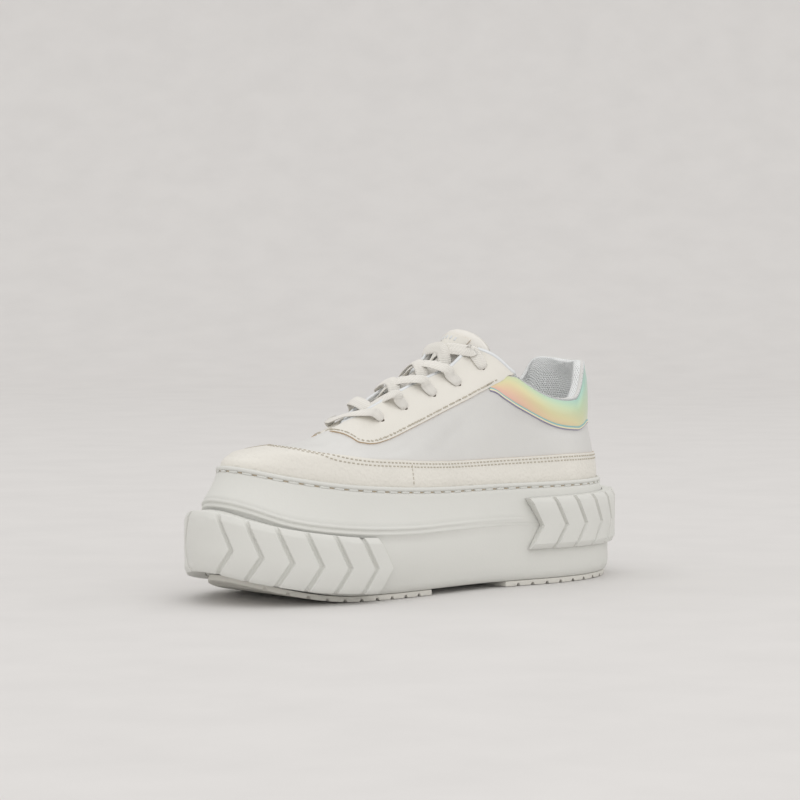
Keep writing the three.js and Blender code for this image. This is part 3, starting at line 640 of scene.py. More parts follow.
def leather(name, colour, grain, depth, roughness, wrinkles=0.0):
    """Coated leather: cell grain, faint clouding and soft surface waves."""
    recipe = Recipe(name, specular=0.42)
    place = recipe.where("place")
    recipe.shade(recipe.cloud(place, scale=26.0, detail=4.0), colour, dark=0.955, stops=(0.35, 0.62))
    rough = recipe.node("MapRange")
    recipe.feed(rough.inputs["To Min"], roughness - 0.05)
    recipe.feed(rough.inputs["To Max"], roughness + 0.06)
    recipe.feed(rough.inputs["Value"], recipe.cloud(place, scale=140.0))
    recipe.feed(recipe.shader.inputs["Roughness"], rough.outputs["Result"])
    waves = recipe.relief(recipe.cloud(place, scale=60.0, detail=2.0), depth=0.5, strength=0.22)
    if wrinkles:
        lines = recipe.where("place", (1.0, 0.35, 0.5))
        height = recipe.cloud(lines, scale=330.0, detail=4.0, roughness=0.6)
        waves = recipe.relief(height, wrinkles, strength=0.7, under=waves)
    recipe.relief(recipe.cells(place, grain), depth, strength=0.6, under=waves)
    return recipe.paint


def foam(name, colour, roughness=0.6):
    """Moulded matte foam or rubber with a very fine orange-peel."""
    recipe = Recipe(name, roughness=roughness, specular=0.35)
    place = recipe.where("place")
    recipe.shade(recipe.cloud(place, scale=18.0, detail=5.0), colour, dark=0.965, stops=(0.3, 0.65))
    recipe.relief(recipe.cloud(place, scale=900.0, detail=2.0), depth=0.12, strength=0.35)
    return recipe.paint


def spacer_mesh(name, colour, hole, pitch):
    """Knitted spacer mesh: round holes on a six-sided lattice, made of two square ones."""
    recipe = Recipe(name, roughness=0.85, sheen=0.2)
    tall = math.sqrt(3)
    far = 100  # keeps every place of the lattice above zero
    nearest = None
    for shift in (0.0, 0.5):
        place = recipe.where("pattern", (1000 / pitch, 1000 / (pitch * tall), 1))
        place = recipe.work_out("ADD", place, (shift + far, shift + far, 0), kind="VectorMath")
        place = recipe.work_out("FRACTION", place, kind="VectorMath")
        place = recipe.work_out("MULTIPLY_ADD", place, (1, tall, 0), (-0.5, -0.5 * tall, 0),
                           kind="VectorMath")
        here = recipe.work_out("LENGTH", place, kind="VectorMath", result="Value")
        nearest = here if nearest is None else recipe.work_out("MINIMUM", nearest, here)
    # The holes are painted darker than the knit: painted shade inside them.
    recipe.shade(nearest, colour, dark=0.52, stops=(hole * 0.8, hole * 1.25))
    recipe.relief(nearest, depth=0.8, strength=0.9)
    return recipe.paint


def woven(name, colour, rib, row=0.8):
    """Flat woven lace: fine ribs that meet in a V down the middle, crossed by finer rows."""
    recipe = Recipe(name, roughness=0.9, sheen=0.3)
    once_round = 6.283
    along, across = recipe.parts(recipe.where("pattern", (1000, 1000, 1)))
    slant = recipe.work_out("MULTIPLY_ADD", recipe.work_out("PINGPONG", across, 2.0), 0.9, along)
    ribs = recipe.work_out("SINE", recipe.work_out("MULTIPLY", slant, once_round / rib))
    rows = recipe.work_out("SINE", recipe.work_out("MULTIPLY", across, once_round / row))
    height = recipe.work_out("MULTIPLY_ADD", rows, 0.4, ribs)
    # The colour follows the weave's height, so its troughs are painted darker: painted shade.
    factor = recipe.work_out("MULTIPLY_ADD", height, 0.36, 0.5)
    recipe.shade(factor, colour, dark=0.9, stops=(0.0, 1.0))
    recipe.relief(height, depth=0.16, strength=0.7)
    return recipe.paint


def iridescent(name):
    """Pearl film: the tint drifts from mint at the heel and rim to gold and rose in front."""
    recipe = Recipe(name, metallic=0.25, roughness=0.32, coat=0.5, coat_roughness=0.25)
    along, up = recipe.parts(recipe.where("pattern", (1000 / PANEL_LONG, 1000 / PANEL_TALL, 1)))
    place = recipe.where("place")
    off_middle = recipe.work_out("ABSOLUTE", recipe.work_out("SUBTRACT", along, 0.5))
    front = recipe.work_out("MULTIPLY", off_middle, 2.0)
    low = recipe.work_out("MULTIPLY_ADD", recipe.work_out("SUBTRACT", 1.0, up), 0.46, -0.38)
    both = recipe.work_out("MULTIPLY_ADD", front, 0.72, low)
    mixed = recipe.work_out("MULTIPLY_ADD", recipe.cloud(place, scale=22.0, detail=1.0), 0.18, both)
    recipe.tint(mixed, PEARL, PEARL_STOPS)
    recipe.relief(recipe.cells(place, 1500.0), depth=0.05, strength=0.4)
    return recipe.paint


def striped(name):
    """The painted edge of the collar panel: dark violet, straw and teal lines."""
    recipe = Recipe(name, metallic=0.2, roughness=0.35)
    _, up = recipe.parts(recipe.where("pattern", (1, 1000 / STRIPE_WIDE, 1)))
    recipe.tint(up, STRIPE_TINTS, STRIPE_STOPS)
    return recipe.paint


def silver(name, colour):
    """Silvery coated cloth of the piping."""
    recipe = Recipe(name, metallic=0.35, roughness=0.36)
    place = recipe.where("place")
    recipe.shade(recipe.cloud(place, scale=90.0), colour, dark=0.9, stops=(0.3, 0.6))
    recipe.relief(recipe.cells(place, 1400.0), depth=0.08, strength=0.5)
    return recipe.paint


def length_property(name, description, default):
    return bpy.props.FloatProperty(
        name=name, description=description, default=default, unit="LENGTH")


class SneakerSizes(bpy.types.PropertyGroup):
    """Sizes that a user would change."""
    overlay: length_property("Overlay", "Thickness of the leather sewn onto the upper", 0.0009)
    stitch_pitch: length_property("Stitch pitch", "Distance between the upper's stitches", 0.0026)
    sole_pitch: length_property("Sole stitch pitch", "Distance between the sole's stitches", 0.00876)
    lace_width: length_property("Lace width", "Width of the flat lace", 0.0075)
    lace_thickness: length_property("Lace thickness", "Thickness of the flat lace", 0.0015)
    piping: length_property("Piping", "Radius of the piping round the throat", 0.0012)


def colour_property(name, description, default):
    return bpy.props.FloatVectorProperty(
        name=name, description=description, default=default, subtype="COLOR", size=3)


class SneakerColours(bpy.types.PropertyGroup):
    """Colours that a user would change."""
    quarter: colour_property("Quarter", "Smooth leather of the sides and vamp", (0.675, 0.67, 0.65))
    trim: colour_property("Trim", "Leather of the mudguard and eyestay", (0.76, 0.735, 0.675))
    sole: colour_property("Sole", "Moulded sole and bumpers", (0.70, 0.70, 0.665))
    tread: colour_property("Tread", "Rubber tread", (0.70, 0.685, 0.635))
    mesh: colour_property("Mesh", "Spacer mesh lining", (0.92, 0.94, 0.94))
    lace: colour_property("Lace", "Woven laces", (0.80, 0.775, 0.72))
    piping: colour_property("Piping", "Silver piping", (0.74, 0.76, 0.77))
    # Partly the thread's own tan and partly painted shade: darkened so the stitches read as dark
    # needle holes.
    thread: colour_property("Thread", "Sewing thread", (0.50, 0.46, 0.38))
    # Painted shade: this colour darkens the slots between the sole's stitches.
    shadow: colour_property("Shadow", "Painted shade of the sole's stitch holes", (0.47, 0.39, 0.29))
    stage: colour_property("Stage", "Floor and backdrop", (0.69, 0.676, 0.664))


def sizes():
    return bpy.context.scene.sneaker_sizes


def colours():
    return bpy.context.scene.sneaker_colours


# Materials: how each is made, its title, its colour or the name of one, then its settings.
MATERIALS = {
    "quarter": (leather, "Quarter leather", "quarter", 1900.0, 0.07, 0.44),
    "vamp": (leather, "Tongue leather", (0.80, 0.775, 0.725), 1500.0, 0.10, 0.48),
    "mudguard": (leather, "Mudguard leather", "trim", 620.0, 0.45, 0.44, 0.8),
    "eyestay": (leather, "Eyestay leather", "trim", 1500.0, 0.10, 0.45),
    "sole": (foam, "Sole foam", "sole"),
    "tread": (foam, "Tread rubber", "tread", 0.75),
    "mesh": (spacer_mesh, "Spacer mesh", "mesh", 0.21, 2.3),
    "lace": (woven, "Woven lace", "lace", 1.1),
    "piping": (silver, "Silver piping", "piping"),
    "panel": (iridescent, "Pearl film", None),
    "stripe": (striped, "Painted stripe", None),
    "thread": (foam, "Thread", "thread", 0.8),
    # Painted shade of the sole's stitch slots.
    "shadow": (foam, "Cut edge", "shadow", 0.9),
    # Near-black: painted shade inside the eyelet holes.
    "hole": (foam, "Eyelet hole", (0.10, 0.08, 0.06), 0.9),
    # Tan rim of the overlays: partly the raw leather edge's own tan, partly painted shade along the
    # seams.
    "edge": (foam, "Folded edge", (0.56, 0.42, 0.28), 0.8),
    "stage": (foam, "Stage", "stage", 0.9),
}
PAINTS = {}


def paint(name):
    """Each material is made once, when its first piece asks for it."""
    if name not in PAINTS:
        maker, title, colour, *settings = MATERIALS[name]
        if isinstance(colour, str):
            colour = tuple(getattr(colours(), colour))
        PAINTS[name] = maker(title, *(() if colour is None else (colour,)), *settings)
    return PAINTS[name]


STITCH_BEVEL = 0.28
THIN_CROSSING = 0.95
THIN_FROM = (0.455, 0.485)
THIN_TO = (0.60, 0.65)
CORNER_SHARES = (0.62, 0.80)
ROW_STEPS = 1600
LAST_RISE = 0.98


def stitch_row(name, marks, size, slot, material):
    """A row of stitches: small rounded bars, each with its place, its way and its up."""
    mesh = bmesh.new()
    shape = Matrix.Diagonal((*(side / 1000 for side in size), 1.0))
    for place, way, up in marks:
        across = up.cross(way).normalized()
        top = way.cross(across).normalized()
        turn = Matrix((way.normalized(), across, top)).transposed().to_4x4()
        spot = Matrix.Translation(placed(place)) @ turn @ shape
        bmesh.ops.create_cube(mesh, size=1.0, matrix=spot)
    bmesh.ops.bevel(mesh, geom=mesh.edges[:], offset=STITCH_BEVEL * min(size[1:]) / 1000, segments=1,
                    affect="EDGES", profile=0.5, material=-1)
    return finish(name, mesh, slot, material)


def mudguard_top(turn):
    return by_share(MUDGUARD_TOP, turn)


def facing_share(turn):
    """How much of its thickness the eyestay keeps: it thins out where it crosses the vamp."""
    return 1 - THIN_CROSSING * smooth(turn, *THIN_FROM) * (1 - smooth(turn, *THIN_TO))


def eyestay_low(turn):
    """The eyestay's lower edge, whose front corner sits further back on the inner side."""
    share = share_of(turn)
    if turn > 0.5:
        share = min(share + INNER_FRONT * smooth(share, *CORNER_SHARES), 1.0)
    return value_at(EYESTAY_LOW, "rise", share)


def aside(turn, path, millimetres, steps=4):
    """The place on the upper so far above an edge, square to the edge: its turn and rise."""
    step = 0.002
    rise = path(turn)
    along = upper_point(turn + step, path(turn + step)) - upper_point(turn - step, path(turn - step))
    for _ in range(steps):
        rise = min(rise, 0.99)
        here = upper_point(turn, rise)
        round_way = (upper_point(turn + step, rise) - here) / step
        up_way = (upper_point(turn, rise + step) - here) / step
        square = round_way.cross(up_way).cross(along).normalized()
        if square.dot(up_way) < 0:
            square = -square
        across = round_way.dot(up_way)
        area = round_way.length_squared * up_way.length_squared - across ** 2
        first, second = square.dot(round_way), square.dot(up_way)
        part = millimetres / steps / area
        turn += part * (first * up_way.length_squared - second * across)
        rise += part * (second * round_way.length_squared - first * across)
    return turn, rise


def marks_along(turns, path, away, pitch, lift):
    """Even marks beside a line on the upper: path(turn) gives the line's rise."""
    low, high = turns
    marks = []
    walked = 0.0
    due = pitch / 2
    before = None
    for k in range(ROW_STEPS + 1):
        turn, rise = aside(low + (high - low) * k / ROW_STEPS, path, away)
        point = upper_point(turn % 1.0, rise)
        if before is None:
            before = point
            continue
        walked += (point - before).length
        ready = walked >= due
        due += pitch if ready else 0.0
        if ready and rise < LAST_RISE:
            # Known fault: the lift takes the place of the row's end, so the row overruns or jumps.
            high = lift(turn) if callable(lift) else lift
            here, normal = upper_face(turn % 1.0, rise, high)
            way = point - before
            marks.append((here, way - normal * way.dot(normal), normal))
        before = point
    return marks


def tube(name, path, radius, rounds, slot, material, squash=None):
    """A round cord, or one squashed flat, along a list of places, each with the way it faces."""
    steps = len(path) - 1

    def place(u, v):
        k = min(int(round(u * steps)), steps)
        point, facing = path[k]
        way = (path[min(k + 1, steps)][0] - path[max(k - 1, 0)][0]).normalized()
        across = facing.cross(way).normalized()
        top = way.cross(across).normalized()
        shut = 0.0 if k in (0, steps) else 1.0
        angle = 2 * math.pi * v
        wide = radius * (squash(u) if squash else 1.0)
        return point + (across * math.cos(angle) * wide + top * math.sin(angle) * radius) * shut

    long = sum((path[k + 1][0] - path[k][0]).length for k in range(steps))
    mesh = spread(steps, rounds, place, (long, 2 * math.pi * radius), closed=True)
    return finish(name, mesh, slot, material)


def wall_profile(spot):
    """The sole's side wall from the tread up to its lip."""
    value = {c: value_at(WALL_SECTIONS, c, spot["at"]) for c in WALL_SECTIONS[0] if c != "at"}
    foot, tread, ridge, ridge_out = (value[c] for c in ("foot_out", "tread_out", "ridge", "ridge_out"))
    base = ground(spot["place"].x + spot["out"].x * foot) + TREAD + GAP
    profile = [(tread, base), (tread + 0.25 * (foot - tread), base + FOOT_EDGES[0]),
               ((tread + 3 * foot) / 4, base + FOOT_EDGES[1])]
    low = base + FOOT_HEIGHT
    under = ridge - RIDGE_UNDER
    fade = smooth(spot["share"], *RIDGE_FADE)
    sunk = RIDGE_SUNK_HEEL + RIDGE_SUNK_MORE * fade
    under_out = ridge_out - RIDGE_STEP * (RIDGE_STEP_HEEL + (1 - RIDGE_STEP_HEEL) * fade)
    bulge = value["belly_out"] - (foot + under_out) / 2
    for k in range(BELLY_STEPS + 1):
        s = k / BELLY_STEPS
        out = foot * (1 - s) + under_out * s + 4 * bulge * s * (1 - s)
        profile.append((out, low + s * (under - low)))
    for point in RIDGE_SHAPE:
        profile.append((ridge_out + point["out"] - sunk * point["sunk"], ridge + point["up"]))
    over_out, over = profile[-1]
    groove = value["top"] - STITCH_DROP
    high = groove - GROOVE_HALF
    for s in SHOULDER_SHARES:
        out = over_out * (1 - s) ** SHOULDER_POWER + SHOULDER_OUT * s
        profile.append((out, over + s * (high - over)))
    profile.append((SHOULDER_OUT, high))
    profile += [(point["out"], groove + point["up"]) for point in GROOVE_SHAPE]
    profile += [(point["out"], value["top"] + point["up"]) for point in LIP_SHAPE]
    return profile, value["floor"]


def middle_of(spot):
    """The middle between a place on the stitch line and the one across from it."""
    other = station(-spot["side"], spot["share"])
    return (spot["place"] + other["place"]) / 2


SOLE_COLUMNS = 240
ONCE_ROUND = 640.0


class SNEAKER_OT_sole(bpy.types.Operator):
    """Moulded sole with its stitch groove, ridge and cup"""
    bl_idname = "sneaker.sole"
    bl_label = "Sole"

    def execute(self, context):
        columns = SOLE_COLUMNS
        profiles = {}
        for k in range(columns):
            spot = round_station(k / columns)
            profile, floor = wall_profile(spot)
            cup = GAP - UPPER_FOOT_IN
            inner = [(cup, floor + CUP_ROUND[1]), (cup - CUP_ROUND[0], floor)]
            profiles[k] = (spot, profile + inner)
        rows = len(profiles[0][1]) + 1

        def place(u, v):
            spot, profile = profiles[round(u * columns) % columns]
            row = round(v * rows)
            if row in (0, rows):
                middle = middle_of(spot)
                under = ground(middle.x) + TREAD + GAP
                return Vector((*middle, under if row == 0 else profile[-1][1]))
            out, z = profile[row - 1]
            return outwards(spot, out, z)

        mesh = spread(columns, rows, place, size=(ONCE_ROUND, 90.0), closed=True)
        piece = finish("sole", mesh, "sole_foam", "sole")
        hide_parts("midsole")
        return {"FINISHED"}


def rounded_copy(node, name, width, slot, material):
    """A CAD node's copy with its edges rounded."""
    mesh = bmesh.new()
    mesh.from_mesh(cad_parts[node].data)
    bmesh.ops.remove_doubles(mesh, verts=mesh.verts[:], dist=1e-6)
    bmesh.ops.recalc_face_normals(mesh, faces=mesh.faces[:])
    flat = [e for e in mesh.edges if len(e.link_faces) == 2 and e.calc_face_angle(0.0) < FLAT_ANGLE]
    bmesh.ops.dissolve_edges(mesh, edges=flat, use_verts=False)
    piece = finish(name, mesh, slot, material)
    round_edges(piece, width, segments=3, degrees=26)
    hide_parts(node)


FLAT_ANGLE = 0.01
BUMPER_ROUND = 0.7
TREAD_ROUND = 0.3


class SNEAKER_OT_bumpers(bpy.types.Operator):
    """Chevron blocks round the toe and the heel, and the two tread pads"""
    bl_idname = "sneaker.bumpers"
    bl_label = "Bumpers and tread"

    def execute(self, context):
        rounded_copy("toe_bumper", "toe_chevrons", BUMPER_ROUND, "sole_foam", "sole")
        rounded_copy("heel_bumper", "heel_chevrons", BUMPER_ROUND, "sole_foam", "sole")
        rounded_copy("outsole_heel", "heel_tread", TREAD_ROUND, "tread_rubber", "tread")
        rounded_copy("outsole_forefoot", "forefoot_tread", TREAD_ROUND, "tread_rubber", "tread")
        return {"FINISHED"}


# The collar's lining: where it fades out, how far it reaches down outside and inside, its
# thickness, how it swells inside, and how it stands out over the collar's edge.
LINING_SPAN = 0.415
LINING_FADE = (0.33, 0.415)
LINING_OUTSIDE = 0.055
LINING_INSIDE = 0.62
LINING_THICK = 0.6
LINING_SWELL = 0.8
LINING_SWELL_END = 0.45
LINING_SUNK = 0.2
LINING_LIFT = 0.55
LINING_CLEAR = 0.1
EDGE_LOOK = 0.04
SHELL_LOOK = 0.03

# The footbed's dish, its rounded edge and its room in the cup.
BED_ROOM = 0.4
BED_UNDER = 0.1
BED_DISH = 1.2
BED_EDGE = 1.6
BED_SPREADS = (2.4, 2.2)


class SNEAKER_OT_upper(bpy.types.Operator):
    """Leather shell of the upper, its padded collar lining and the footbed"""
    bl_idname = "sneaker.upper"
    bl_label = "Upper"

    def shell(self):
        columns, outside, rounding, inside = 260, 46, 4, 22
        rows = outside + rounding + inside

        def place(u, v):
            row = round(v * rows) % rows
            turn = u % 1.0
            if row <= outside:
                return upper_face(turn, row / outside)[0]
            if row < outside + rounding:
                angle = math.pi * (row - outside) / rounding
                point, normal = upper_face(turn, 1.0)
                up = (point - upper_face(turn, 1 - SHELL_LOOK)[0]).normalized()
                in_way = -normal * (1 - math.cos(angle))
                return point + (in_way + up * math.sin(angle)) * WALL / 2
            rise = 1 - (row - outside - rounding) / inside
            point, normal = upper_face(turn, max(rise, 0.0))
            inner = point - normal * WALL
            if rise <= RISE_STEP:
                inner.z = point.z
            return inner

        mesh = spread(columns, rows, place, size=(600.0, 200.0), closed=True)
        piece = finish("upper_shell", mesh, "quarter_leather", "quarter")
        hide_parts("upper")

    def collar(self):
        columns, back, roll, face = 170, 6, 8, 26
        rows = back + roll + face

        def place(u, v):
            turn = (u - 0.5) * LINING_SPAN
            share = share_of(turn)
            fade = 1 - smooth(share, *LINING_FADE)
            row = round(v * rows)
            thick = LINING_THICK + (wall_thickness(share, PAD_FULL) - WALL) * fade
            if row <= back:
                rise = 1 - LINING_OUTSIDE * (1 - row / back)
                stand_out = (LINING_SUNK + LINING_LIFT) * fade * math.sin(math.pi / 2 * row / back)
                return upper_face(turn, rise, stand_out - LINING_SUNK)[0]
            if row <= back + roll:
                angle = math.pi * (row - back) / roll
                point, normal = upper_face(turn, 1.0, LINING_LIFT * fade - LINING_SUNK)
                up = (point - upper_face(turn, 1 - EDGE_LOOK)[0]).normalized()
                reach = (WALL + LINING_LIFT * fade + thick) / 2
                in_way = -normal * reach * (1 - math.cos(angle))
                return point + in_way + up * math.sin(angle) * LINING_THICK
            down = LINING_INSIDE * (row - back - roll) / face
            swell = math.sin(math.pi * min(down / LINING_SWELL_END, 1.0))
            puff = thick + LINING_SWELL * fade * swell
            puff *= 1 - smooth(down, LINING_SWELL_END, LINING_INSIDE)
            point, normal = upper_face(turn, 1 - down)
            return point - normal * (WALL + puff + LINING_CLEAR)

        mesh = spread(columns, rows, place, size=(300.0, 130.0))
        face_away(mesh, lambda f: Vector((0.0, -f.calc_center_median().y, 0.004)))
        piece = finish("collar_lining", mesh, "insole_fabric", "mesh")

    def footbed(self):
        columns, rows = 120, 8
        clear = UPPER_FOOT_IN + WALL + 2 * GAP

        def place(u, v):
            spot = round_station(u)
            floor = value_at(WALL_SECTIONS, "floor", spot["at"]) + GAP
            edge = spot["place"] - spot["out"] * (clear + BED_ROOM)
            if v < 0.5:
                share = min(v * BED_SPREADS[0], 1.0)
                height = BED_UNDER
            else:
                share = min((1 - v) * BED_SPREADS[1], 1.0)
                height = INSOLE - BED_DISH * (1 - share ** 3) - (BED_EDGE if share == 1.0 else 0.0)
            return Vector((*middle_of(spot).lerp(edge, share), floor + height))

        mesh = spread(columns, rows, place, size=(560.0, 80.0), closed=True)
        piece = finish("footbed", mesh, "insole_fabric", "mesh")
        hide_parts("insole")

    def execute(self, context):
        self.shell()
        self.collar()
        self.footbed()
        return {"FINISHED"}


# The mudguard starts under the sole's edge and thickens above it.
MUDGUARD_FOOT = 0.10
MUDGUARD_THIN = 0.35
MUDGUARD_FULL = (0.11, 0.17)
LEATHER_THICK = 0.8
PANEL_TUCK = 0.01
PIPING_PAST = 0.004
PIPING_UP = 0.9
PIPING_LOOK = (0.03, -0.2)
PIPING_STEPS = 260


class SNEAKER_OT_overlays(bpy.types.Operator):
    """Mudguard, eyestay, pearl collar panel with its stripes, and piping"""
    bl_idname = "sneaker.overlays"
    bl_label = "Overlays"

    def patch(self, name, turns, low, high, lift, cells, size, slot, materials):
        """A skin on the upper's face between two edges, low(turn) and high(turn)."""

        def place(u, v):
            turn = turns[0] + (turns[1] - turns[0]) * u
            if turns == (0.0, 1.0):
                turn %= 1.0
            rise = low(turn) + (high(turn) - low(turn)) * v
            return upper_face(turn, rise, lift(turn, rise) if callable(lift) else lift)[0]

        mesh = spread(*cells, place, size)
        face_away(mesh, from_axis)
        return finish(name, mesh, slot, *materials)

    def leathers(self):
        over = sizes().overlay * 1000

        def mudguard_lift(turn, rise):
            return over * (MUDGUARD_THIN + (1 - MUDGUARD_THIN) * smooth(rise, *MUDGUARD_FULL))

        mudguard = self.patch(
            "mudguard", (0.0, 1.0), lambda t: MUDGUARD_FOOT, mudguard_top, mudguard_lift,
            (300, 14), (620.0, 22.0), "tongue_leather", ("mudguard", "edge"))
        # The rims take the tan edge material: raw leather edge with painted seam shade.
        thicken(mudguard, LEATHER_THICK, rim=1)
        half = EYESTAY_BACK / 2
        eyestay = self.patch(
            "eyestay", (half, 1 - half), eyestay_low, lambda t: 1.0,
            lambda turn, rise: over * facing_share(turn),
            (260, 18), (420.0, 25.0), "tongue_leather", ("eyestay", "edge"))
        thicken(eyestay, LEATHER_THICK, rim=1)

    def pearl_panel(self):
        front = PANEL_FRONT / 2
        panel = self.patch(
            "collar_panel", (-front, front), lambda t: by_share(PANEL_LOW, t) + PANEL_TUCK,
            lambda t: by_share(PANEL_TOP, t), 0.5,
            (200, 16), (PANEL_LONG, PANEL_TALL), "quarter_leather", ("panel",))
        thicken(panel, 0.5, bevel=0.2)
        stripe = self.patch(
            "panel_stripe", (-front, front),
            lambda t: rise_for(t, by_share(PANEL_LOW, t), -STRIPE_WIDE / 2),
            lambda t: rise_for(t, by_share(PANEL_LOW, t), STRIPE_WIDE / 2), 0.75,
            (200, 6), (PANEL_LONG, STRIPE_WIDE), "quarter_leather", ("stripe",))
        thicken(stripe, 0.7, bevel=0.3)

    def piping(self):
        back = EYESTAY_BACK / 2 - PIPING_PAST
        look, look_lift = PIPING_LOOK
        path = []
        for k in range(PIPING_STEPS + 1):
            turn = back + (1 - 2 * back) * k / PIPING_STEPS
            point, normal = upper_face(turn, 1.0)
            up = (point - upper_face(turn, 1 - look, look_lift)[0]).normalized()
            path.append((point + up * PIPING_UP, normal))
        tube("piping", path, sizes().piping * 1000, 10, "tongue_leather", "piping")

    def execute(self, context):
        self.leathers()
        self.pearl_panel()
        self.piping()
        return {"FINISHED"}


# The tongue's own shape, and its label: along and across it, as shares, and its beads.
TONGUE_STEP = 0.01
TONGUE_SIDE_STEP = 0.02
TONGUE_SEARCHES = 24
TONGUE_SQUARE = 0.72
TONGUE_TIP = 0.05
LABEL_ALONG = (0.862, 0.095)
LABEL_ACROSS = (-0.46, 1.0)
LABEL_UP = 0.9
BEAD_ALONG = 0.93
BEAD_ACROSS = (-0.28, 0.13)
BEAD_COUNT = 5
BEAD_SIZE = (2.4, 1.0, 0.5)
BEAD_UP = 0.95


def tongue_value(along, column):
    return value_at(TONGUE_SECTIONS, column, along, "along")


def tongue_point(along, across, depth=0.0):
    """A point of the tongue: along its crown, across it, and below its face."""
    back, ahead = along - TONGUE_STEP, along + TONGUE_STEP
    slope = Vector((
        tongue_value(ahead, "x") - tongue_value(back, "x"),
        tongue_value(ahead, "z") - tongue_value(back, "z"),
    )).normalized()
    y = across * tongue_value(along, "half")
    rounding = tongue_value(along, "round")
    drop = math.hypot(y * tongue_value(along, "fall"), rounding) - rounding + depth
    return Vector((tongue_value(along, "x") - slope.y * drop, y,
                   tongue_value(along, "z") + slope.x * drop))


def tongue_face(x, y):
    """The tongue's face over a place in plan, and the way out of it."""
    low, high = 0.0, 1.0
    for _ in range(TONGUE_SEARCHES):
        along = (low + high) / 2
        if tongue_point(along, y / tongue_value(along, "half")).x > x:
            low = along
        else:
            high = along
    across = y / tongue_value(along, "half")
    point = tongue_point(along, across)
    ahead = tongue_point(along + TONGUE_STEP, across) - point
    beside = tongue_point(along, across + TONGUE_SIDE_STEP) - point
    return point, beside.cross(ahead).normalized()


def tongue_skin(along, across, lift):
    """A point lifted off the tongue's face."""
    point = tongue_point(along, across)
    ahead = tongue_point(along + TONGUE_STEP, across) - tongue_point(along - TONGUE_STEP, across)
    beside = tongue_point(along, across + TONGUE_SIDE_STEP)
    beside -= tongue_point(along, across - TONGUE_SIDE_STEP)
    return point + beside.cross(ahead).normalized() * lift


class SNEAKER_OT_tongue(bpy.types.Operator):
    """Padded tongue with a blank embossed label"""
    bl_idname = "sneaker.tongue"
    bl_label = "Tongue"

    def pad(self):
        def place(u, v):
            angle = 2 * math.pi * v
            across = math.copysign(abs(math.cos(angle)) ** TONGUE_SQUARE, math.cos(angle))
            tip = min((1 - u) / TONGUE_TIP, 1.0)
            tip = math.sqrt(max(1 - (1 - tip) ** 2, 0.0))
            foot = 0.0 if u == 0.0 else 1.0
            along = u * (1 - TONGUE_CORNER * abs(across) ** 3)
            full = TONGUE_THICK * (0.5 + 0.5 * math.sqrt(max(1 - across ** 2, 0.0)))
            return tongue_point(along, across, full / 2 - full * tip * foot / 2 * math.sin(angle))

        mesh = spread(90, 48, place, size=(110.0, 90.0), closed=True)
        piece = finish("tongue_pad", mesh, "tongue_leather", "vamp")
        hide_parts("tongue")

    def label(self):
        def place(u, v):
            along = LABEL_ALONG[0] + LABEL_ALONG[1] * v
            return tongue_skin(along, LABEL_ACROSS[0] + LABEL_ACROSS[1] * u, LABEL_UP)

        mesh = spread(24, 10, place, size=(16.0, 9.0))
        face_away(mesh, lambda f: Vector((1.0, 0.0, 0.8)))
        label = finish("tongue_label", mesh, "tongue_leather", "eyestay", "edge")
        thicken(label, 0.9, bevel=0.3, rim=1)
        marks = []
        for k in range(BEAD_COUNT):
            across = BEAD_ACROSS[0] + BEAD_ACROSS[1] * k
            point = tongue_skin(BEAD_ALONG, across, BEAD_UP)
            way = tongue_skin(BEAD_ALONG + TONGUE_STEP, across, BEAD_UP)
            way -= tongue_skin(BEAD_ALONG - TONGUE_STEP, across, BEAD_UP)
            marks.append((point, way, tongue_skin(BEAD_ALONG, across, 2.0) - point))
        stitch_row("label_beads", marks, BEAD_SIZE, "tongue_leather", "piping")

    def execute(self, context):
        self.pad()
        self.label()
        return {"FINISHED"}


# A crossing's run: shares of its way along the shoe at which it rests, and how far out there.
FACING_RUN, FACING_REST = 0.10, EDGE_REST + 3.6
EDGE_RUN = 0.20
CROWN_RUN = 0.5
DIP_RUN, DIP_LIFT = 0.72, 0.4
UNDER_RUN, UNDER_REST = 0.95, 13.5

# The first points of a lace over its eyelet: down or up, ahead, and how it faces.
START_DOWN = 1.6
START_UP, START_AHEAD = 0.6, 0.8
START_FACING = (0.5, 0.85)
START_LEAN = 0.35
START_REST = 4.2
LACE_STEPS = 44
PINCH = 0.72
PINCH_LONG = 0.14

# The bar across the first eyelets: its place ahead of them and its arch.
BAR_AHEAD = 2.5
BAR_UP = 1.5
BAR_END_DOWN = 0.4
BAR_ARCH = Vector((1.2, 0.0, 0.9))
BAR_FACING = Vector((0.35, 0.0, 1.0))

EYELET_RADIUS = 0.0014
EYELET_DEPTH = 0.002
EYELET_ROUND = 0.0002
EYELET_DOWN = 0.9


def lace_path(rests, steps):
    """A smooth line through resting points, with the way the lace faces."""
    points = [p for p, _ in rests]
    facings = [n for _, n in rests]
    path = []
    last = len(points) - 1
    for k in range(steps + 1):
        s = k / steps * last
        n = min(int(s), last - 1)
        t = s - n
        a = points[max(n - 1, 0)]
        b, c = points[n], points[n + 1]
        d = points[min(n + 2, last)]
        place = 0.5 * ((2 * b) + (c - a) * t + (2 * a - 5 * b + 4 * c - d) * t * t
                       + (3 * b - a - 3 * c + d) * t ** 3)
        path.append((place, facings[n].lerp(facings[n + 1], t).normalized()))
    return path


def eyelet_face(row, side):
    """An eyelet's place on the facing, and the way out of it."""
    spot = EYELETS[row]
    turn = spot["share"] / 2 if side > 0 else 1 - spot["share"] / 2
    return upper_face(turn, spot["outer" if side > 0 else "inner"], sizes().overlay * 1000)


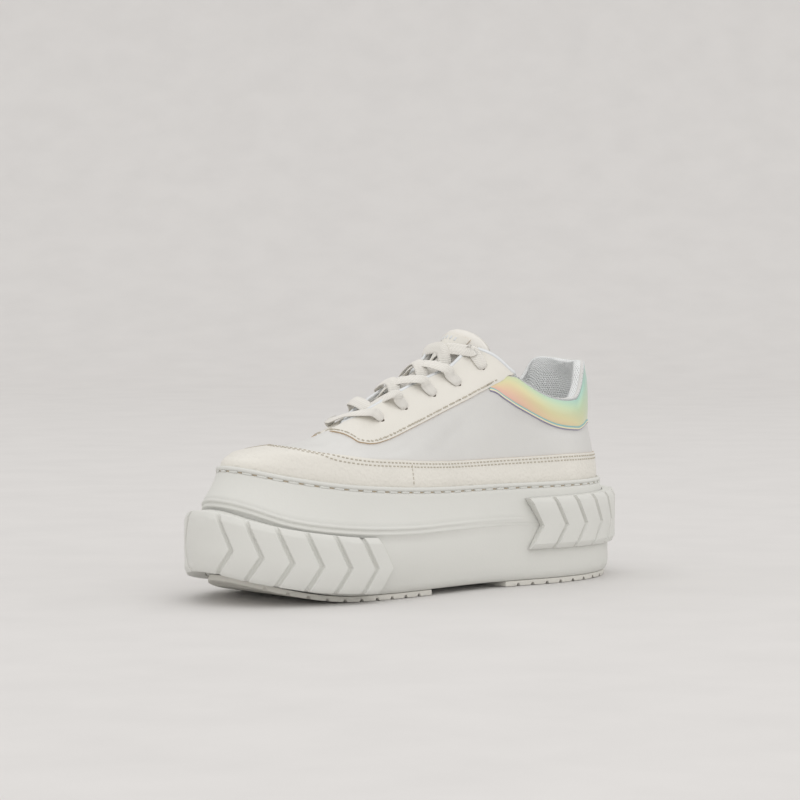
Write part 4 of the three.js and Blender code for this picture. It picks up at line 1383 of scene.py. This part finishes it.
def lace_start(row, side, toward, lift):
    """The end of a lace: up out of its eyelet and onto the facing."""
    point, normal = eyelet_face(row, side)
    way = toward - point
    way = (way - normal * way.dot(normal)).normalized()
    return [
        (point - normal * START_DOWN, (normal * START_FACING[0] - way * START_FACING[1]).normalized()),
        (point + normal * START_UP + way * START_AHEAD, (normal - way * START_LEAN).normalized()),
        (point + normal * lift + way * START_REST, normal),
    ]


def strap_rests(row, side, layer):
    """Where a crossing rests, from its eyelet down to the tongue beside the next row's."""
    start, end = EYELETS[row + 1], EYELETS[row]
    thick = sizes().lace_thickness * 1000
    lift = LACE_CLEAR + thick / 2
    over = lift + sizes().overlay * 1000
    above = layer * thick * LAYER_LIFT

    def along(share):
        return start["x"] + (end["x"] - start["x"]) * share

    facing, facing_up = upper_at(along(FACING_RUN), side * FACING_REST)
    edge, edge_up = upper_at(along(EDGE_RUN), side * EDGE_REST)
    crown, crown_up = tongue_face(along(CROWN_RUN), 0.0)
    dip, dip_up = tongue_face(along(DIP_RUN), -side * DIP_REST)
    under, under_up = tongue_face(along(UNDER_RUN), -side * UNDER_REST)
    first = facing + facing_up * (over + FACING_LIFTS[row])
    crown_lift = lift + CROWN_LIFTS[row] + above
    dip_lift = lift + CROWN_LIFTS[row] / 2 + DIP_LIFT + above / 2
    return lace_start(row + 1, side, first, over)[:2] + [
        (first, facing_up),
        (edge + edge_up * (lift + EDGE_LIFTS[row]), edge_up),
        (crown + crown_up * crown_lift, crown_up),
        (dip + dip_up * dip_lift, dip_up),
        (under + under_up * lift, under_up),
    ]


def strap(name, rests, both_ends=False):
    """A flat lace through its resting points, pinched where it comes out of an eyelet."""
    path = lace_path(rests, LACE_STEPS)
    wide = sizes().lace_width * 500
    thick = sizes().lace_thickness * 500

    def squash(u):
        pinch = 1 - PINCH * math.exp(-(u / PINCH_LONG) ** 2)
        if both_ends:
            pinch *= 1 - PINCH * math.exp(-((1 - u) / PINCH_LONG) ** 2)
        return wide * pinch / thick

    return tube(name, path, thick, 16, "lace_fabric", "lace", squash)


class SNEAKER_OT_laces(bpy.types.Operator):
    """Flat laces through the eyelets, and the painted shade of the eyelet holes"""
    bl_idname = "sneaker.laces"
    bl_label = "Laces"

    def crossings(self):
        for row in range(len(EYELETS) - 1):
            for side, layer, word in ((1, 0, "under"), (-1, 1, "over")):
                piece = strap(f"lace_{row + 1}_{word}", strap_rests(row, side, layer))
                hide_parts(f"lace_crossing_{row + 1}")

    def bar(self):
        over = LACE_CLEAR + sizes().lace_thickness * 500 + sizes().overlay * 1000 + BAR_UP
        x = EYELETS[0]["x"] + BAR_AHEAD
        near, near_up = upper_at(x, EDGE_REST)
        far, far_up = upper_at(x, -EDGE_REST)
        near_over, far_over = near + near_up * over, far + far_up * over
        rests = lace_start(0, 1, near_over, over - BAR_END_DOWN)
        rests += [(near_over, near_up),
                  (near_over.lerp(far_over, 0.5) + BAR_ARCH, BAR_FACING.normalized()),
                  (far_over, far_up)]
        rests += reversed(lace_start(0, -1, far_over, over - BAR_END_DOWN))
        bar = strap("lace_bar_flat", rests, both_ends=True)
        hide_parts("lace_bar")

    # Short near-black cylinders sunk under each eyelet: painted shade inside the holes.
    def holes(self):
        mesh = bmesh.new()
        for row in range(len(EYELETS)):
            for side in (1, -1):
                point, normal = eyelet_face(row, side)
                turn = normal.to_track_quat("Z", "Y").to_matrix().to_4x4()
                spot = Matrix.Translation(placed(point - normal * EYELET_DOWN)) @ turn
                bmesh.ops.create_cone(mesh, cap_ends=True, segments=20, radius1=EYELET_RADIUS,
                                      radius2=EYELET_RADIUS, depth=EYELET_DEPTH, matrix=spot)
        bmesh.ops.bevel(mesh, geom=mesh.edges[:], offset=EYELET_ROUND, segments=1, affect="EDGES",
                        profile=0.5, material=-1)
        finish("eyelet_holes", mesh, "tongue_leather", "hole")

    def execute(self, context):
        self.crossings()
        self.bar()
        self.holes()
        return {"FINISHED"}


# Stitch rows: the edge, the turns between which they run, how far off it, and how proud.
STITCH_ROWS = {
    "mudguard_stitch_1": (mudguard_top, (0.0, 1.0), -1.6, 0.12),
    "mudguard_stitch_2": (mudguard_top, (0.0, 1.0), -3.5, 0.12),
    "eyestay_stitch": (eyestay_low, (0.188, 0.812), 1.7, 0.17),
}
STITCH_SIZE = (1.5, 0.7, 0.35)
SEAM_STITCH = (1.6, 0.5, 0.35)
SEAM_LOW, SEAM_PITCH, SEAM_COUNT = 0.15, 0.028, 5
SEAM_UP = 0.05
THREAD_UP, THREAD_MORE, THREAD_SIZE = 0.4, 0.9, (1.2, 1.0)
SLOT_UP, SLOT_LESS, SLOT_SIZE = 0.1, 2.0, (0.65, 0.5)
WAY_STEP = 0.002


class SNEAKER_OT_stitches(bpy.types.Operator):
    """Rows of stitches on the upper and round the sole"""
    bl_idname = "sneaker.stitches"
    bl_label = "Stitches"

    def upper_rows(self, over):
        pitch = sizes().stitch_pitch * 1000
        for name, (edge, turns, away, proud) in STITCH_ROWS.items():
            lift = over + proud
            if edge is eyestay_low:
                def lift(turn, proud=proud):
                    return over * facing_share(turn) + proud
            marks = marks_along(turns, edge, away, pitch, lift)
            # These stitches take the thread colour, darkened as painted shade of their holes.
            stitch_row(name, marks, STITCH_SIZE, "tongue_leather", "thread")

    def side_seam(self, over):
        marks = []
        for turn in (SEAM_SHARE / 2, 1 - SEAM_SHARE / 2):
            for k in range(SEAM_COUNT):
                rise = SEAM_LOW + SEAM_PITCH * k
                point, normal = upper_face(turn, rise, over + SEAM_UP)
                way = upper_point(turn, rise + RISE_STEP) - upper_point(turn, rise)
                marks.append((point, way, normal))
        stitch_row("side_seam_stitch", marks, SEAM_STITCH, "tongue_leather", "thread")

    def sole_rows(self):
        count = 2 * round(ONCE_ROUND / (sizes().sole_pitch * 1000))
        long = sizes().sole_pitch * 500

        def groove(turn, out):
            spot = round_station(turn)
            height = value_at(WALL_SECTIONS, "top", spot["at"]) - STITCH_DROP
            return outwards(spot, out, height), Vector((*spot["out"], 0.0))

        rows = (
            ("sole_stitch", 0, THREAD_UP, (long + THREAD_MORE, *THREAD_SIZE), "sole"),
            # Dark bars between the threads: painted shade in the stitch groove.
            ("sole_stitch_slots", 1, SLOT_UP, (long - SLOT_LESS, *SLOT_SIZE), "shadow"),
        )
        for name, first, up, size, material in rows:
            marks = []
            for k in range(first, count, 2):
                turn = k / count
                way = groove(turn + WAY_STEP, 0.0)[0] - groove(turn, 0.0)[0]
                point, out = groove(turn, up - STITCH_DEPTH)
                marks.append((point, way, out))
            stitch_row(name, marks, size, "sole_foam", material)

    def execute(self, context):
        over = sizes().overlay * 1000
        self.upper_rows(over)
        self.side_seam(over)
        self.sole_rows()
        return {"FINISHED"}


# The camera, in degrees and millimetres; the backdrop and the lamps, in metres and watts.
CAMERA_TURN = math.radians(48.0)
CAMERA_DIP = math.radians(3.0)
CAMERA_AWAY = 1800.0
CAMERA_LENS = 144.46
CAMERA_SENSOR = 36.0
CAMERA_REACH = 50.0
CAMERA_AIM = Vector((134.0, 0.0, 104.178))
CAMERA_SLIDE = -9.006
FLOOR_WIDE = 14.0
FLOOR_LONG = 9.0
FLOOR_NEAR = 3.5
FLOOR_FLAT = 2.2
FLOOR_BEND = 1.6
FLOOR_DOWN = 0.0002
LAMP_AIM = Vector((0.0, 0.0, 0.06))
LAMPS = table(("name", "side", "depth", "height", "size", "power"), (
    ("Key", 0.5, -1.6, 1.6, 2.2, 4.2),
    ("Fill", 1.5, -1.2, 1.2, 2.4, 1.4),
    ("Top", 0.2, 0.4, 2.4, 2.2, 2.4),
))
WORLD_COLOUR = (0.80, 0.79, 0.78, 1.0)
WORLD_STRENGTH = 1.25


class SNEAKER_OT_stage(bpy.types.Operator):
    """Floor with a curved backdrop, soft lights and the camera"""
    bl_idname = "sneaker.stage"
    bl_label = "Stage"

    def camera(self, context, look, right):
        data = bpy.data.cameras.new("Camera")
        data.lens = CAMERA_LENS
        data.sensor_width = CAMERA_SENSOR
        data.clip_end = CAMERA_REACH
        camera = bpy.data.objects.new("Camera", data)
        camera.location = placed(CAMERA_AIM + right * CAMERA_SLIDE - look * CAMERA_AWAY)
        camera.rotation_euler = look.to_track_quat("-Z", "Y").to_euler()
        context.scene.collection.objects.link(camera)
        context.scene.camera = camera

    def floor(self, away, right):
        mesh = bmesh.new()
        bmesh.ops.create_grid(mesh, x_segments=8, y_segments=64, size=0.5)
        for vert in mesh.verts:
            across = vert.co.x * FLOOR_WIDE
            run = (vert.co.y + 0.5) * FLOOR_LONG - FLOOR_NEAR
            bend = min(max(run - FLOOR_FLAT, 0.0) / FLOOR_BEND, math.pi / 2)
            deep = min(run, FLOOR_FLAT) + FLOOR_BEND * math.sin(bend)
            straight = max(run - FLOOR_FLAT - FLOOR_BEND * math.pi / 2, 0.0)
            rise = FLOOR_BEND * (1 - math.cos(bend)) + straight
            vert.co = Vector((*(away.xy * deep + right.xy * across), rise - FLOOR_DOWN))
        stand("floor", mesh, "stage")

    def lights(self, context, away, right):
        for row in LAMPS:
            lamp = bpy.data.lights.new(row["name"], "AREA")
            lamp.energy = row["power"]
            lamp.size = row["size"]
            body = bpy.data.objects.new(row["name"], lamp)
            body.location = right * row["side"] + away * row["depth"] + Vector((0, 0, row["height"]))
            body.rotation_euler = (LAMP_AIM - body.location).to_track_quat("-Z", "Y").to_euler()
            context.scene.collection.objects.link(body)
        world = bpy.data.worlds.new("Studio")
        world.use_nodes = True
        background = world.node_tree.nodes["Background"]
        background.inputs["Color"].default_value = WORLD_COLOUR
        background.inputs["Strength"].default_value = WORLD_STRENGTH
        context.scene.world = world

    def execute(self, context):
        look = Vector((-math.cos(CAMERA_TURN) * math.cos(CAMERA_DIP),
                       -math.sin(CAMERA_TURN) * math.cos(CAMERA_DIP), -math.sin(CAMERA_DIP)))
        right = Vector((-math.sin(CAMERA_TURN), math.cos(CAMERA_TURN), 0.0))
        away = Vector((look.x, look.y, 0.0)).normalized()
        self.camera(context, look, right)
        self.floor(away, right)
        self.lights(context, away, right)
        context.scene.view_settings.view_transform = "Standard"
        return {"FINISHED"}


OPERATORS = (
    SNEAKER_OT_sole,
    SNEAKER_OT_bumpers,
    SNEAKER_OT_upper,
    SNEAKER_OT_overlays,
    SNEAKER_OT_tongue,
    SNEAKER_OT_laces,
    SNEAKER_OT_stitches,
    SNEAKER_OT_stage,
)


class SNEAKER_PT_panel(bpy.types.Panel):
    """Lists the sneaker's pieces"""
    bl_idname = "SNEAKER_PT_panel"
    bl_label = "Platform sneaker"
    bl_space_type = "VIEW_3D"
    bl_region_type = "UI"
    bl_category = "Sneaker"

    def draw(self, context):
        for operator in OPERATORS:
            self.layout.operator(operator.bl_idname)
        for group in (context.scene.sneaker_sizes, context.scene.sneaker_colours):
            for name in group.bl_rna.properties.keys():
                if name not in {"rna_type", "name"}:
                    self.layout.prop(group, name)


CLASSES = (SneakerSizes, SneakerColours, *OPERATORS, SNEAKER_PT_panel)


def register():
    for item in CLASSES:
        bpy.utils.register_class(item)
    bpy.types.Scene.sneaker_sizes = bpy.props.PointerProperty(type=SneakerSizes)
    bpy.types.Scene.sneaker_colours = bpy.props.PointerProperty(type=SneakerColours)


def unregister():
    del bpy.types.Scene.sneaker_colours
    del bpy.types.Scene.sneaker_sizes
    for item in reversed(CLASSES):
        bpy.utils.unregister_class(item)


def main():
    register()
    for operator in OPERATORS:
        group, name = operator.bl_idname.split(".")
        getattr(getattr(bpy.ops, group), name)()


if __name__ == "__main__":
    main()
